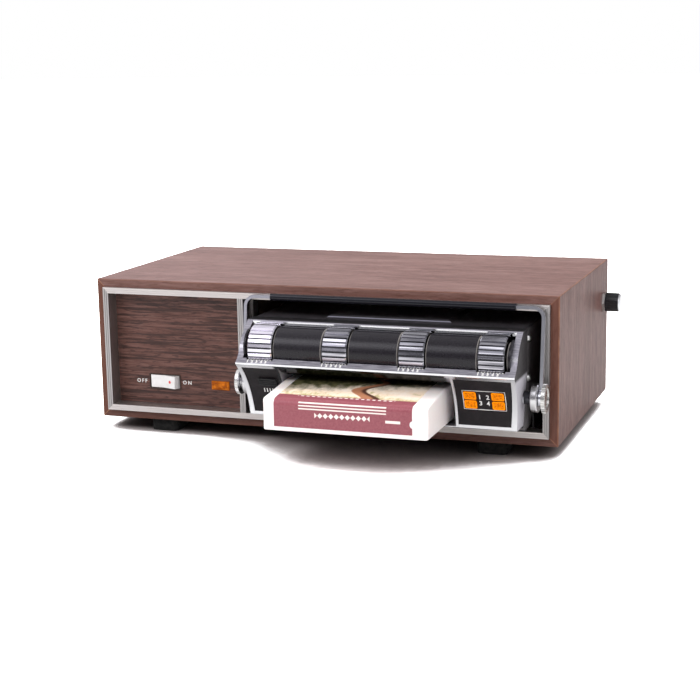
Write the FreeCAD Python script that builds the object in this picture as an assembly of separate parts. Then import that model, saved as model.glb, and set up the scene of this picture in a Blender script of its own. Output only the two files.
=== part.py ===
"""Eight-track tape player: a walnut cabinet with a power side and a plug-in tape deck.

Millimetres, +Z up. The model is laid out from the cabinet's lower front left corner: x runs to the
right, y to the back, z up from the underside. Every solid is then moved so that the origin lies on
the table, under the middle of the whole player.
"""
import FreeCAD, Part
import math
import os

os.makedirs("parts", exist_ok=True)
V = FreeCAD.Vector

# ---------------------------------------------------------------- cabinet
cabinet_w = 305.0
cabinet_h = 92.0
rear_room = 22.0
board_t = 8.0
edge_round = 0.9
back_t = 3.2
back_rebate = 4.0
foot_h = 8.4
foot_half = 9.3
foot_round = 3.0
foot_taper = 0.6
foot_inset_x = 42.2
foot_inset_y = 13.6
foot_floor = 3.0
screw_r = 1.6
screw_head_r = 3.0
screw_head_t = 1.6

# aluminium edge trim: a grooved face that stands proud of the wood, and a leg that lines the opening
trim_margin = 5.33
trim_w = 3.73
trim_proud = 2.9
trim_leg = 8.0
trim_groove = 0.35
divider_web = 1.2
divider_depth = 14.0
channel_depth = 8.0
channel_wall = 0.8

# control side
panel_t = 3.0
rocker_share = 0.367
rocker_z = 24.0
rocker_w = 20.6
rocker_h = 8.2
rocker_tilt = 11.0
rocker_gap = 0.35
pilot_share = 0.802
pilot_z = 23.4
pilot_w = 12.5
pilot_h = 5.9
pilot_proud = 0.9
core_w = 48.0
core_h = 40.0
core_t = 20.0
core_y = 76.0
core_strap = 8.0
coil_bulge = 7.0
supply_margin = 9.0
supply_depth = 32.0
supply_stand = 6.0
supply_t = 1.6

# rotary control on the right side
side_back = 14.7
side_z = 64.3
side_r = 6.4
side_len = 9.2
side_cap_t = 0.9
can_r = 10.0
can_t = 9.0
bush_r = 3.5
nut_t = 1.6
running = 0.05

# rear connections
jack_r = 4.15
jack_len = 7.0
jack_pitch = 18.0
jack_off = 29.2
jack_z = 30.0
vent_columns = 12
vent_start = 35.0
vent_w = 14.0
vent_h = 4.0
vent_z = 56.0
vent_rise = 12.0
gland_z = 26.0
gland_r = 6.0
gland_reach = 5.0

# ---------------------------------------------------------------- tape deck
bay_gap = 10.55
deck_off = 1.0
deck_half = 85.6
motor_rear = 10.0
deck_base = 11.3
deck_top = 73.2
sheet = 1.2
slide_gap = 0.3
screw_y = -1.0
screw_z_high = 66.3
screw_z_low = 42.2
plug_w = 34.0
plug_h = 9.0
plug_len = 8.0
plug_z = 30.0
hump_left = -42.0
hump_right = 39.0
hump_front = -2.0
hump_back = 52.0
hump_rise = 1.6
bezel_back = -8.0
bezel_wall = 2.4
back_wall = 2.0

# nose of the bezel, in side view
barrel_y = -25.0
barrel_z = 58.0
barrel_r = 12.8
barrel_gap = 0.6
wheel_r = 14.0
wheel_w = 15.8
collar_t = 2.6
wheel_gap = 0.7
wheel_ribs = 30
wheel_rib_share = 0.62
wheel_rib_depth = 1.0
axle_r = 3.0
axle_seat = 1.4
roof_y = -20.0
roof_t = 2.6
cheek_y = -32.9
cheek_z = 60.0
ledge_y = -40.8
ledge_z = 50.3
ledge_lip = 1.5
ledge_crown = 0.6
ledge_back_angle = 18.0
flare = 1.2
cove_y = -24.5
cove_z = 14.9
cove_sag = 3.3
bezel_base = 14.4
foot_taper_in = 1.1
mouth_gap_left = 0.5
mouth_gap_right = 5.5
mouth_rib = 1.5
mouth_floor = 15.4
fascia_t = 0.9
fascia_foot = 16.7

# programme push button in the left fascia
button_w = 11.6
button_h = 4.8
button_z = 37.0
button_off = 3.0
button_proud = 1.3
button_len = 4.5
button_flange = 1.0
button_ribs = 3

# channel indicator: four lenses in the right fascia
lamp_w = 8.0
lamp_h = 5.4
lamp_z = 33.3
lamp_dx = 8.4
lamp_dz = 3.1
lamp_proud = 0.5

# pull handle and its friction knobs
pivot_y = -12.0
pivot_z = 32.5
handle_reach = 53.2
strap_x = 2.0
strap_y = 2.4
strap_round = 7.0
arm_gap = 0.3
handle_off = 1.4
grip_half = 78.0
grip_h = 4.3
grip_d = 4.4
disc_r = 8.6
disc_t = 4.0
disc_stand = 3.0
pivot_pad = 0.8
pivot_pad_r = 3.9
knob_t = 2.1
knob_teeth = 36
stud_r = 2.0
eye_r = 5.0

# cartridge
cart_w = 101.6
cart_len = 135.6
cart_t = 22.4
cart_front = -65.6
cart_x = -8.7
cart_z = 16.3
cart_wall = 1.8
cart_corner = 2.2
cart_edge = 1.0
cart_nose = 19.3
cart_nose_r = 3.6
cart_slope = 37.0
cart_split = 11.2
lug_r = 2.1
lug_proud = 0.4
lug_inset = 8.4
lug_z = 8.8
label_left = 7.3
label_right = 9.2
label_low = 2.6
label_t = 0.25
label_back = 62.0
notch_y = -2.0
notch_len = 13.0
notch_d = 2.0
reel_r = 44.0
reel_t = 1.4
pack_r = 40.0
pack_top = 7.9
hub_r = 21.0
hub_floor = 3.0
boss_r = 12.0
boss_top = 10.0
reel_pin_r = 3.0
roller_r = 11.0
roller_inset_x = 17.0
roller_pin_r = 1.5

# tape drive
capstan_r = 1.6
fly_r = 30.0
fly_t = 8.0
bearing_h = 2.6
plate_gap = 2.7
plate_t = 1.5
plate_front = 28.0
plate_margin = 5.6
post_inset = 5.0
motor_x = -36.0
motor_behind = 28.0
motor_r = 16.0
motor_h = 27.0
pulley_r = 4.5
belt_t = 0.8
belt_w = 3.0
post_r = 2.0
head_x = -10.0
head_post_back = 16.0
head_travel = 1.9
follower_gap = 0.55
cam_x = -32.0
cam_r = 9.0
cam_base = 15.0
detent_x = 55.5
detent_y = 22.0
detent_roller_r = 3.3
solenoid_z = 24.0
solenoid_left = 76.0
solenoid_len = 24.0
board_right = -18.0
board_front = 14.0
board_below = 12.0

# ---------------------------------------------------------------- places worked out from the sizes
trim_in = trim_margin + trim_w
bay_right = cabinet_w - trim_in
bay_left = bay_right - 2 * (deck_half + bay_gap)
divider_x = bay_left - trim_w
rocker_x = trim_in + (divider_x - trim_in) * rocker_share
pilot_x = trim_in + (divider_x - trim_in) * pilot_share
power_mid = (board_t + divider_x) / 2
gland_x = power_mid
xc = (bay_left + bay_right) / 2 + deck_off
jack_x = xc + jack_off
panel_y = trim_leg
bay_floor = board_t
cart_mid = xc + cart_x
cart_x0 = cart_mid - cart_w / 2
cart_x1 = cart_mid + cart_w / 2
cart_end = cart_front + cart_len
cart_top = cart_z + cart_t
plate_z = cart_top + plate_gap
mouth_x0 = cart_x0 - mouth_gap_left
mouth_x1 = cart_x1 + mouth_gap_right
roller_x = cart_x1 - roller_inset_x
roller_y = cart_end - roller_r - 1.2
capstan_y = roller_y + roller_r + slide_gap + capstan_r
fly_z = plate_z + plate_t + bearing_h + slide_gap
carriage_y = cart_end + head_post_back
motor_y = carriage_y + motor_behind
deck_back = motor_y + motor_r + motor_rear
cabinet_d = deck_back + rear_room
side_y = cabinet_d - side_back
lamp_x = (mouth_x1 + mouth_rib + xc + deck_half - bezel_wall) / 2
button_x = (mouth_x0 - mouth_rib + xc - deck_half + bezel_wall) / 2 + button_off
reel_y = cart_front + cart_w / 2 + 11.0
deck_floor = deck_base + sheet
wheel_pitch = (2 * (deck_half - bezel_wall - collar_t - wheel_gap) - wheel_w) / 3
side_reach = nut_t + side_len + side_cap_t
handle_lean = math.degrees(math.asin((-trim_proud - 0.4 - grip_d / 2 - pivot_y) / handle_reach))
handle_x = xc + handle_off
pad_half = deck_half + pivot_pad
arm_in = pad_half + disc_stand + disc_t + arm_gap
knob_in = arm_in + strap_x + arm_gap
side_screws = [(screw_y, screw_z_high), (screw_y, screw_z_low)]
origin = V((cabinet_w + side_reach) / 2,
           (cart_front - lug_proud + cabinet_d + jack_len) / 2,
           -foot_h)


# ---------------------------------------------------------------- building blocks
def box(x0, x1, y0, y1, z0, z1):
    """A block between two limits along each axis."""
    return Part.makeBox(x1 - x0, y1 - y0, z1 - z0, V(x0, y0, z0))


def rod(r, start, end):
    """A round bar from one point to another."""
    along = end - start
    return Part.makeCylinder(r, along.Length, start, along)


def in_plane(plane, u, v, w):
    """The point with coordinates u, v in a plane that stands at w along its own normal."""
    return {"xy": V(u, v, w), "xz": V(u, w, v), "yz": V(w, u, v)}[plane]


def prism(plane, path, start, end):
    """A closed outline carried straight from start to end along its plane's normal.

    An item (u, v) is a straight side to that corner; (mu, mv, u, v) is an arc to (u, v) by way
    of the middle point (mu, mv).
    """
    edges = []
    here = in_plane(plane, *path[0][-2:], start)
    for item in path[1:] + path[:1]:
        there = in_plane(plane, *item[-2:], start)
        if len(item) == 4:
            edges.append(Part.Arc(here, in_plane(plane, *item[:2], start), there).toShape())
        elif here.distanceToPoint(there) > 1e-6:
            edges.append(Part.makeLine(here, there))
        here = there
    return Part.Face(Part.Wire(edges)).extrude(in_plane(plane, 0, 0, end - start))


def bowed(a, b, sag):
    """The arc from a to b for prism: it bulges by sag to the left of the way from a to b."""
    chord = math.hypot(b[0] - a[0], b[1] - a[1])
    across = (-(b[1] - a[1]) / chord * sag, (b[0] - a[0]) / chord * sag)
    return ((a[0] + b[0]) / 2 + across[0], (a[1] + b[1]) / 2 + across[1]) + tuple(b)


def rounded(u0, u1, v0, v1, r):
    """The outline of a rectangle with round corners, for prism."""
    k = r * (1 - math.sqrt(0.5))
    return [(u0 + k, v0 + k, u0 + r, v0), (u1 - r, v0), (u1 - k, v0 + k, u1, v0 + r), (u1, v1 - r),
            (u1 - k, v1 - k, u1 - r, v1), (u0 + r, v1), (u0 + k, v1 - k, u0, v1 - r), (u0, v0 + r)]


def turned(base, axis, path):
    """A turned solid: path is its half section, as (radius, distance from base along the axis)."""
    corners = [V(r, 0, h) for r, h in path]
    solid = Part.Face(Part.makePolygon(corners + corners[:1])).revolve(V(0, 0, 0), V(0, 0, 1), 360)
    solid.Placement = FreeCAD.Placement(base, FreeCAD.Rotation(V(0, 0, 1), axis))
    return solid


def tube(r_out, r_in, start, end):
    """A bush: a round bar with a bore."""
    return rod(r_out, start, end).cut(rod(r_in, start, end))


def fluted(r, depth, count, share):
    """The outline of a round bar with straight flutes, for prism; share is the ridge's part."""
    path = []
    step = 2 * math.pi / count
    for i in range(count):
        for turn, radius in ((-share / 2, r), (share / 2, r), (share / 2 + 0.12, r - depth),
                             (1 - share / 2 - 0.12, r - depth)):
            angle = (i + turn) * step
            path.append((radius * math.cos(angle), radius * math.sin(angle)))
    return path


def moved(shape, dx=0.0, dy=0.0, dz=0.0):
    """A copy of a shape, shifted."""
    copy = shape.copy()
    copy.translate(V(dx, dy, dz))
    return copy


def save(name, *solids):
    """Write one named piece, or a group of like pieces, in the part's own frame."""
    shape = solids[0] if len(solids) == 1 else Part.makeCompound(list(solids))
    moved(shape, -origin.x, -origin.y, -origin.z).exportStep("parts/" + name + ".step")


# ---------------------------------------------------------------- cabinet
def mitre(side):
    """The wedge that keeps one side of a frame, between 45 degree lines from the outer corners."""
    w, h, mid, over = cabinet_w, cabinet_h, cabinet_h / 2, 5.0
    corners = {
        "top": [(-over, h + over), (w + over, h + over), (w - mid, mid), (mid, mid)],
        "bottom": [(-over, -over), (w + over, -over), (w - mid, mid), (mid, mid)],
        "left": [(-over, -over), (mid, mid), (-over, h + over)],
        "right": [(w + over, -over), (w - mid, mid), (w + over, h + over)],
    }[side]
    return prism("xz", corners, -20.0, cabinet_d + 20.0)


def frame(out, inside, y0, y1):
    """A rectangular ring that follows the cabinet's edge, between two margins from it."""
    outer = box(out, cabinet_w - out, y0, y1, out, cabinet_h - out)
    return outer.cut(box(inside, cabinet_w - inside, y0, y1, inside, cabinet_h - inside))


def foot_places():
    """The feet's centres, in plan."""
    return [(x, y) for x in (foot_inset_x, cabinet_w - foot_inset_x)
            for y in (foot_inset_y, cabinet_d - foot_inset_y)]


def cabinet_boards():
    """Four vinyl-clad boards with mitred corners, rounded outer edges and a rebate for the back."""
    body = prism("xz", rounded(0, cabinet_w, 0, cabinet_h, edge_round), 0, cabinet_d)
    front = [e for e in body.Edges if all(abs(v.Y) < 1e-6 for v in e.Vertexes)]
    body = body.makeFillet(edge_round * 0.8, front)
    body = body.cut(box(board_t, cabinet_w - board_t, 0, cabinet_d, board_t, cabinet_h - board_t))
    rim = board_t - back_rebate
    body = body.cut(box(rim, cabinet_w - rim, cabinet_d - back_t, cabinet_d, rim, cabinet_h - rim))
    for x, y in foot_places():
        body = body.cut(rod(screw_r, V(x, y, 0), V(x, y, board_t - 1.5)))
    body = body.cut(rod(bush_r + running, V(cabinet_w - board_t, side_y, side_z),
                        V(cabinet_w, side_y, side_z)))
    return {side: body.common(mitre(side)) for side in ("top", "bottom", "left", "right")}


def edge_trim():
    """The grooved aluminium extrusion around the opening, mitred into four lengths."""
    ring = frame(trim_margin, trim_in, -trim_proud, 0)
    ring = ring.fuse(frame(board_t, trim_in, 0, trim_leg)).removeSplitter()
    for share in (0.28, 0.62):
        start = trim_margin + trim_w * share
        ring = ring.cut(frame(start, start + 0.45, -trim_proud, -trim_proud + trim_groove))
    return {side: ring.common(mitre(side)) for side in ("top", "bottom", "left", "right")}


def trim_divider():
    """The upright between the two bays: a grooved face bar, a web, and a channel for the partition."""
    x0, x1 = divider_x, divider_x + trim_w
    z0, z1 = trim_in, cabinet_h - trim_in
    web_x = (x0 + x1 - divider_web) / 2
    bar = box(x0, x1, -trim_proud, 0, z0, z1)
    for share in (0.28, 0.62):
        start = x0 + trim_w * share
        bar = bar.cut(box(start, start + 0.45, -trim_proud, -trim_proud + trim_groove, z0, z1))
    web = box(web_x, web_x + divider_web, 0, divider_depth, z0, z1)
    channel = box(x0, x1, divider_depth, divider_depth + channel_depth, z0, z1)
    slot = box(x0 + channel_wall, x1 - channel_wall, divider_depth + channel_wall,
               divider_depth + channel_depth, z0, z1)
    return bar.fuse(web).fuse(channel.cut(slot)).removeSplitter()


def partition():
    """The hardboard wall between the power side and the deck bay, held in the divider's channel."""
    return box(divider_x + channel_wall, bay_left - channel_wall, divider_depth + channel_wall,
               cabinet_d - back_t, bay_floor, cabinet_h - board_t)


def back_panel():
    """Perforated hardboard back, sunk flush in its rebate, with vents, jacks and a cord gland."""
    rim = board_t - back_rebate + 0.1
    panel = box(rim, cabinet_w - rim, cabinet_d - back_t, cabinet_d, rim, cabinet_h - rim)
    pitch = (cabinet_w - 2 * vent_start - vent_w) / (vent_columns - 1)
    for z in (vent_z, vent_z + vent_rise):
        for column in range(vent_columns):
            x = vent_start + column * pitch
            slot = rounded(x, x + vent_w, z, z + vent_h, vent_h / 2 - 0.1)
            panel = panel.cut(prism("xz", slot, cabinet_d - back_t, cabinet_d))
    for x in (jack_x - jack_pitch / 2, jack_x + jack_pitch / 2):
        panel = panel.cut(rod(2.8, V(x, cabinet_d - back_t, jack_z), V(x, cabinet_d, jack_z)))
    panel = panel.cut(rod(gland_r - 1.5, V(gland_x, cabinet_d - back_t, gland_z),
                          V(gland_x, cabinet_d, gland_z)))
    for x, z in back_screw_places():
        panel = panel.cut(rod(screw_r, V(x, cabinet_d - back_t, z), V(x, cabinet_d, z)))
    return panel


def back_screw_places():
    """The back panel's screws, in its rebate, clear of the boards' inner edges."""
    low = board_t - back_rebate / 2
    return [(x, z) for x in (low + 10.0, cabinet_w / 2, cabinet_w - low - 10.0)
            for z in (low, cabinet_h - low)]


def cabinet_screws():
    """Pan-head screws that hold the four feet and the back panel."""
    screws = []
    for x, y in foot_places():
        head = rod(screw_head_r, V(x, y, -foot_floor - screw_head_t), V(x, y, -foot_floor))
        screws.append(head.fuse(rod(screw_r, V(x, y, -foot_floor), V(x, y, board_t - 1.5))))
    for x, z in back_screw_places():
        head = turned(V(x, cabinet_d, z), V(0, 1, 0), [(0, 0), (1.9, 0), (1.5, 0.9), (0, 1.1)])
        screws.append(head.fuse(rod(screw_r, V(x, cabinet_d - back_t, z), V(x, cabinet_d, z))))
    return screws


def feet():
    """Four square moulded rubber feet, each with a well for its screw."""
    blocks = []
    for x, y in foot_places():
        block = prism("xy", rounded(x - foot_half, x + foot_half, y - foot_half, y + foot_half,
                                    foot_round), -foot_h, 0)
        ground = [e for e in block.Edges if all(abs(v.Z + foot_h) < 1e-6 for v in e.Vertexes)]
        block = block.makeChamfer(foot_taper, ground)
        block = block.cut(rod(screw_head_r + 0.6, V(x, y, -foot_h), V(x, y, -foot_floor)))
        blocks.append(block.cut(rod(screw_r, V(x, y, -foot_h), V(x, y, 0))))
    return blocks


# ---------------------------------------------------------------- control side
def control_panel():
    """The walnut panel behind the trim, with openings for the rocker switch and the pilot lamp."""
    right = divider_x + (trim_w - divider_web) / 2 - 0.15
    panel = box(board_t + 0.1, right, panel_y, panel_y + panel_t, board_t + 0.1,
                cabinet_h - board_t - 0.1)
    panel = panel.cut(box(rocker_x - rocker_w / 2 - 1.0, rocker_x + rocker_w / 2 + 1.0, panel_y,
                          panel_y + panel_t, rocker_z - rocker_h / 2 - 1.0,
                          rocker_z + rocker_h / 2 + 1.0))
    return panel.cut(box(pilot_x - pilot_w / 2, pilot_x + pilot_w / 2, panel_y,
                         panel_y + panel_t, pilot_z - pilot_h / 2, pilot_z + pilot_h / 2))


def rocker_pivot():
    """The rocker's vertical pin line, just behind the panel's face."""
    return V(rocker_x, panel_y + 2.2, rocker_z)


def rocker_button():
    """The white rocker: two faces that meet at a shallow angle, tilted with its right end out."""
    pin = rocker_pivot()
    r = rocker_w / 2
    rise = 2.9
    body = rod(r, V(pin.x, pin.y, pin.z - rocker_h / 2), V(pin.x, pin.y, pin.z + rocker_h / 2))
    front = prism("xy", [(pin.x - r - 1, pin.y + 6.0), (pin.x - r - 1, pin.y - rise - 1.6),
                         (pin.x, pin.y - rise), (pin.x + r + 1, pin.y - rise - 1.6),
                         (pin.x + r + 1, pin.y + 6.0)],
                  pin.z - rocker_h / 2, pin.z + rocker_h / 2)
    body = body.common(front)
    body = body.cut(rod(1.25, V(pin.x, pin.y, pin.z - rocker_h), V(pin.x, pin.y, pin.z + rocker_h)))
    body.rotate(pin, V(0, 0, 1), -rocker_tilt)
    return body


def rocker_switch():
    """The switch's black body with the round well that the rocker turns in, and its pivot pin."""
    pin = rocker_pivot()
    half_w = rocker_w / 2 + 1.0
    half_h = rocker_h / 2 + 1.0
    body = box(pin.x - half_w, pin.x + half_w, panel_y - 0.5, panel_y + 18.0,
               pin.z - half_h, pin.z + half_h)
    inner_h = rocker_h / 2 + rocker_gap
    body = body.cut(rod(rocker_w / 2 + rocker_gap, V(pin.x, pin.y, pin.z - inner_h),
                        V(pin.x, pin.y, pin.z + inner_h)))
    body = body.cut(box(pin.x - rocker_w / 2 - rocker_gap, pin.x + rocker_w / 2 + rocker_gap,
                        panel_y - 0.5, pin.y, pin.z - inner_h, pin.z + inner_h))
    body = body.fuse(rod(1.2, V(pin.x, pin.y, pin.z - inner_h), V(pin.x, pin.y, pin.z + inner_h)))
    tags = [box(pin.x + dx - 0.4, pin.x + dx + 0.4, panel_y + 18.0, panel_y + 24.0,
                pin.z - 2.4, pin.z + 2.4) for dx in (-6.0, 6.0)]
    return body.fuse(tags[0]).fuse(tags[1])


def pilot_lamp():
    """The amber pilot lamp: a stepped lens with a raised middle, and the holder behind it."""
    x0, x1 = pilot_x - pilot_w / 2, pilot_x + pilot_w / 2
    z0, z1 = pilot_z - pilot_h / 2, pilot_z + pilot_h / 2
    front, back = panel_y - pilot_proud, panel_y + panel_t
    lens = box(x0, x1, front, back, z0, z1)
    rim = [e for e in lens.Edges if all(abs(v.Y - front) < 1e-6 for v in e.Vertexes)]
    lens = lens.makeChamfer(0.5, rim)
    lens = lens.fuse(box(x0 + 2.0, x1 - 2.0, front - 0.4, panel_y, z0 + 1.5, z1 - 1.5))
    holder = box(x0 - 1.5, x1 + 1.5, back, back + 12.0, z0 - 1.5, z1 + 1.5)
    return lens.fuse(holder)


def transformer_core():
    """Stacked steel laminations around two windows, on a folded mounting strap."""
    x0, x1 = power_mid - core_t / 2, power_mid + core_t / 2
    y0, y1 = core_y - core_w / 2, core_y + core_w / 2
    core = box(x0, x1, y0, y1, bay_floor + sheet, bay_floor + sheet + core_h)
    for y in (y0 + core_w / 6, core_y + core_w / 6):
        core = core.cut(box(x0, x1, y, y + core_w / 6, bay_floor + sheet + core_h / 6,
                            bay_floor + sheet + core_h * 5 / 6))
    strap = box(x0 + 3.0, x1 - 3.0, y0 - core_strap, y1 + core_strap, bay_floor, bay_floor + sheet)
    return core.fuse(strap)


def transformer_coil():
    """The winding on the middle leg, rounded at its four corners."""
    half = core_w / 3 - 0.3
    out = core_t / 2 + coil_bulge
    z0 = bay_floor + sheet + core_h / 6 + 0.2
    z1 = bay_floor + sheet + core_h * 5 / 6 - 0.2
    coil = prism("xy", rounded(power_mid - out, power_mid + out, core_y - half, core_y + half, 5.0), z0, z1)
    leg = box(power_mid - core_t / 2, power_mid + core_t / 2,
              core_y - core_w / 6, core_y + core_w / 6, z0, z1)
    return coil.cut(leg)


def power_board():
    """The rectifier board on its stand-offs, with two smoothing capacitors."""
    x0, x1 = board_t + supply_margin, divider_x - supply_margin
    y1 = cabinet_d - back_t - supply_margin
    y0 = y1 - supply_depth
    under = bay_floor + supply_stand
    top = under + supply_t
    board = box(x0, x1, y0, y1, under, top)
    for x in (x0 + 4.0, x1 - 4.0):
        for y in (y0 + 4.0, y1 - 4.0):
            board = board.fuse(rod(2.0, V(x, y, bay_floor), V(x, y, under)))
    mid = (y0 + y1) / 2
    board = board.fuse(rod(8.0, V(x0 + 16.0, mid, top), V(x0 + 16.0, mid, top + 32.0)))
    return board.fuse(rod(6.5, V(x0 + 34.0, mid, top), V(x0 + 34.0, mid, top + 25.0)))


def side_control():
    """The rotary control inside the right board, its threaded bush and the nut outside."""
    x = cabinet_w - board_t
    can = rod(can_r, V(x - can_t, side_y, side_z), V(x, side_y, side_z))
    bush = rod(bush_r, V(x, side_y, side_z), V(cabinet_w + nut_t, side_y, side_z))
    nut_path = [(7.0 * math.cos(math.radians(a)), 7.0 * math.sin(math.radians(a)))
                for a in range(0, 360, 60)]
    nut_path = [(u + side_y, v + side_z) for u, v in nut_path]
    nut = prism("yz", nut_path, cabinet_w, cabinet_w + nut_t)
    bore = rod(3.0 + running, V(x - can_t + 1.2, side_y, side_z), V(cabinet_w + nut_t, side_y, side_z))
    return can.fuse(bush).fuse(nut).cut(bore)


def side_knob():
    """The black side knob: finely ribbed skirt, open back and a shaft into the control."""
    path = [(u + side_y, v + side_z) for u, v in fluted(side_r, 0.3, 32, 0.5)]
    x0 = cabinet_w + nut_t + 0.3
    knob = prism("yz", path, x0, x0 + side_len - 0.3)
    return knob.fuse(rod(3.0, V(cabinet_w - board_t - can_t + 1.6, side_y, side_z), V(x0, side_y, side_z)))


def side_knob_cap():
    """The bright turned cap on the side knob's end."""
    x0 = cabinet_w + nut_t + side_len
    half = [(0, 0), (side_r - 0.4, 0), (side_r - 0.6, side_cap_t * 0.6), (side_r - 1.6, side_cap_t),
            (0, side_cap_t)]
    return turned(V(x0, side_y, side_z), V(1, 0, 0), half)


def output_jacks():
    """Two phono sockets on the back, each a collar with its shell."""
    jacks = []
    for x in (jack_x - jack_pitch / 2, jack_x + jack_pitch / 2):
        half = [(1.6, -6.0), (2.8, -6.0), (2.8, 0), (6.0, 0), (6.0, 0.8), (jack_r, 0.8),
                (jack_r, jack_len), (3.4, jack_len), (3.4, 1.6), (1.6, 1.6)]
        jacks.append(turned(V(x, cabinet_d, jack_z), V(0, 1, 0), half))
    return jacks


def cord_gland():
    """The grommet in the back where the mains lead enters."""
    wall = gland_r - 1.5
    half = [(2.6, -back_t - 1.2), (gland_r, -back_t - 1.2), (gland_r, -back_t), (wall, -back_t),
            (wall, 0), (gland_r, 0), (gland_r - 1.0, gland_reach), (2.6, gland_reach)]
    return turned(V(gland_x, cabinet_d, gland_z), V(0, 1, 0), half)


# ---------------------------------------------------------------- deck bay
def dock_tray():
    """The folded steel tray that the deck slides on, with two runners and two side guides."""
    left, right = xc - deck_half, xc + deck_half
    y0, y1 = trim_leg + 1.0, cabinet_d - back_t - 4.0
    tray = box(left - 4.0, right + 4.0, y0, y1, bay_floor, bay_floor + sheet)
    runner_top = deck_base - slide_gap
    for x in (left + 6.0, right - 18.0):
        tray = tray.fuse(prism("xz", [(x, bay_floor + sheet), (x + 1.5, runner_top),
                                      (x + 10.5, runner_top), (x + 12.0, bay_floor + sheet)], y0, y1))
    for x in (left - 0.5 - sheet, right + 0.5):
        tray = tray.fuse(box(x, x + sheet, y0, y1, bay_floor, bay_floor + 12.0))
    return tray.removeSplitter()


def dock_socket():
    """The fixed half of the deck's rear connector, on a bracket from the tray."""
    y0 = deck_back + slide_gap
    y1 = y0 + plug_len + 4.0
    wall = 2.5
    body = box(xc - plug_w / 2 - wall, xc + plug_w / 2 + wall, y0, y1,
               plug_z - plug_h / 2 - wall, plug_z + plug_h / 2 + wall)
    body = body.cut(box(xc - plug_w / 2 - 0.4, xc + plug_w / 2 + 0.4, y0, y0 + plug_len + 0.4,
                        plug_z - plug_h / 2 - 0.4, plug_z + plug_h / 2 + 0.4))
    foot = box(xc - 12.0, xc + 12.0, y1 - 3.0, y1, bay_floor + sheet, plug_z - plug_h / 2 - wall)
    return body.fuse(foot)


def deck_plug():
    """The deck's half of the connector: a flat tongue with eight contact strips."""
    x0, x1 = xc - plug_w / 2, xc + plug_w / 2
    tongue = box(x0, x1, deck_back, deck_back + plug_len, plug_z - plug_h / 2, plug_z + plug_h / 2)
    tongue = tongue.fuse(box(x0 - 3.0, x1 + 3.0, deck_back - sheet - 3.0, deck_back - sheet,
                             plug_z - plug_h / 2 - 3.0, plug_z + plug_h / 2 + 3.0))
    tongue = tongue.fuse(box(x0, x1, deck_back - sheet, deck_back, plug_z - plug_h / 2,
                             plug_z + plug_h / 2))
    for i in range(8):
        x = x0 + 2.0 + i * (plug_w - 4.0) / 8
        tongue = tongue.cut(box(x + 1.0, x + 2.8, deck_back + 1.5, deck_back + plug_len,
                                plug_z + plug_h / 2 - 0.5, plug_z + plug_h / 2))
    return tongue


# ---------------------------------------------------------------- deck case
def deck_chassis():
    """The folded steel case: floor, two sides and a rear wall, open above and in front."""
    left, right = xc - deck_half, xc + deck_half
    case = box(left, right, bezel_back, deck_back, deck_base, deck_top - sheet)
    case = case.cut(box(left + sheet, right - sheet, bezel_back, deck_back - sheet,
                        deck_base + sheet, deck_top - sheet))
    case = case.cut(box(xc - plug_w / 2, xc + plug_w / 2, deck_back - sheet, deck_back,
                        plug_z - plug_h / 2, plug_z + plug_h / 2))
    for y, z in side_screws:
        case = case.cut(rod(1.5, V(left, y, z), V(right, y, z)))
    for i in range(9):
        y = 40.0 + i * 9.0
        case = case.cut(box(left, left + sheet, y, y + 4.0, 48.0, 64.0))
        case = case.cut(box(right - sheet, right, y, y + 4.0, 48.0, 64.0))

    # posts for the head carriage, the cam and the detent arm, and the capstan's foot bearing
    for x, y, top in ((xc + head_x, carriage_y, plate_z), (xc + cam_x, carriage_y, cam_base + 12.0),
                      (xc + detent_x, detent_y, cart_top)):
        case = case.fuse(rod(post_r, V(x, y, deck_floor), V(x, y, top)))
    bore = capstan_r + running
    cup = [(0, 0), (4.5, 0), (4.5, 2.6), (bore, 2.6), (bore, 0.8), (0, 0.8)]
    return case.fuse(turned(V(roller_x, capstan_y, deck_floor), V(0, 0, 1), cup))


def deck_cover():
    """The top cover: a flat sheet with a pressed, raised panel near its front edge."""
    left, right = xc - deck_half, xc + deck_half
    cover = box(left, right, bezel_back, deck_back, deck_top - sheet, deck_top)

    def hump(inset, z0, z1):
        rings = []
        for slope, z in ((0.0, z0), (3.0, z1)):
            x0, x1 = xc + hump_left + inset + slope, xc + hump_right - inset - slope
            y0, y1 = hump_front + inset + slope, hump_back - inset - slope
            ring = [V(x0, y0, z), V(x1, y0, z), V(x1, y1, z), V(x0, y1, z)]
            rings.append(Part.makePolygon(ring + ring[:1]))
        return Part.makeLoft(rings, True, True)

    cover = cover.fuse(hump(0.0, deck_top - 0.01, deck_top + hump_rise))
    cover = cover.cut(hump(sheet, deck_top - sheet - 0.01, deck_top + hump_rise - sheet))
    flange = 8.0
    for x in (left + sheet + 0.1, right - 2 * sheet - 0.1):
        cover = cover.fuse(box(x, x + sheet, 10.0, deck_back - 2 * sheet, deck_top - flange,
                               deck_top - sheet))
    return cover


def deck_screws():
    """Four dome-head screws that clamp the case's sides to the bezel's ears."""
    screws = []
    for y, z in side_screws:
        for side in (-1, 1):
            base = V(xc + side * deck_half, y, z)
            dome = [(0, 2.0), (1.2, 1.8), (2.1, 1.1), (2.5, 0), (1.5, 0), (1.5, -4.4), (0, -4.4)]
            screws.append(turned(base, V(side, 0, 0), dome))
    return screws


# ---------------------------------------------------------------- bezel
def cove_ends(back):
    """The ends of the hollow front below the ledge, in side view, moved back."""
    return (ledge_y + 0.6 + back, ledge_z - ledge_lip), (cove_y + back, cove_z)


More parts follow.
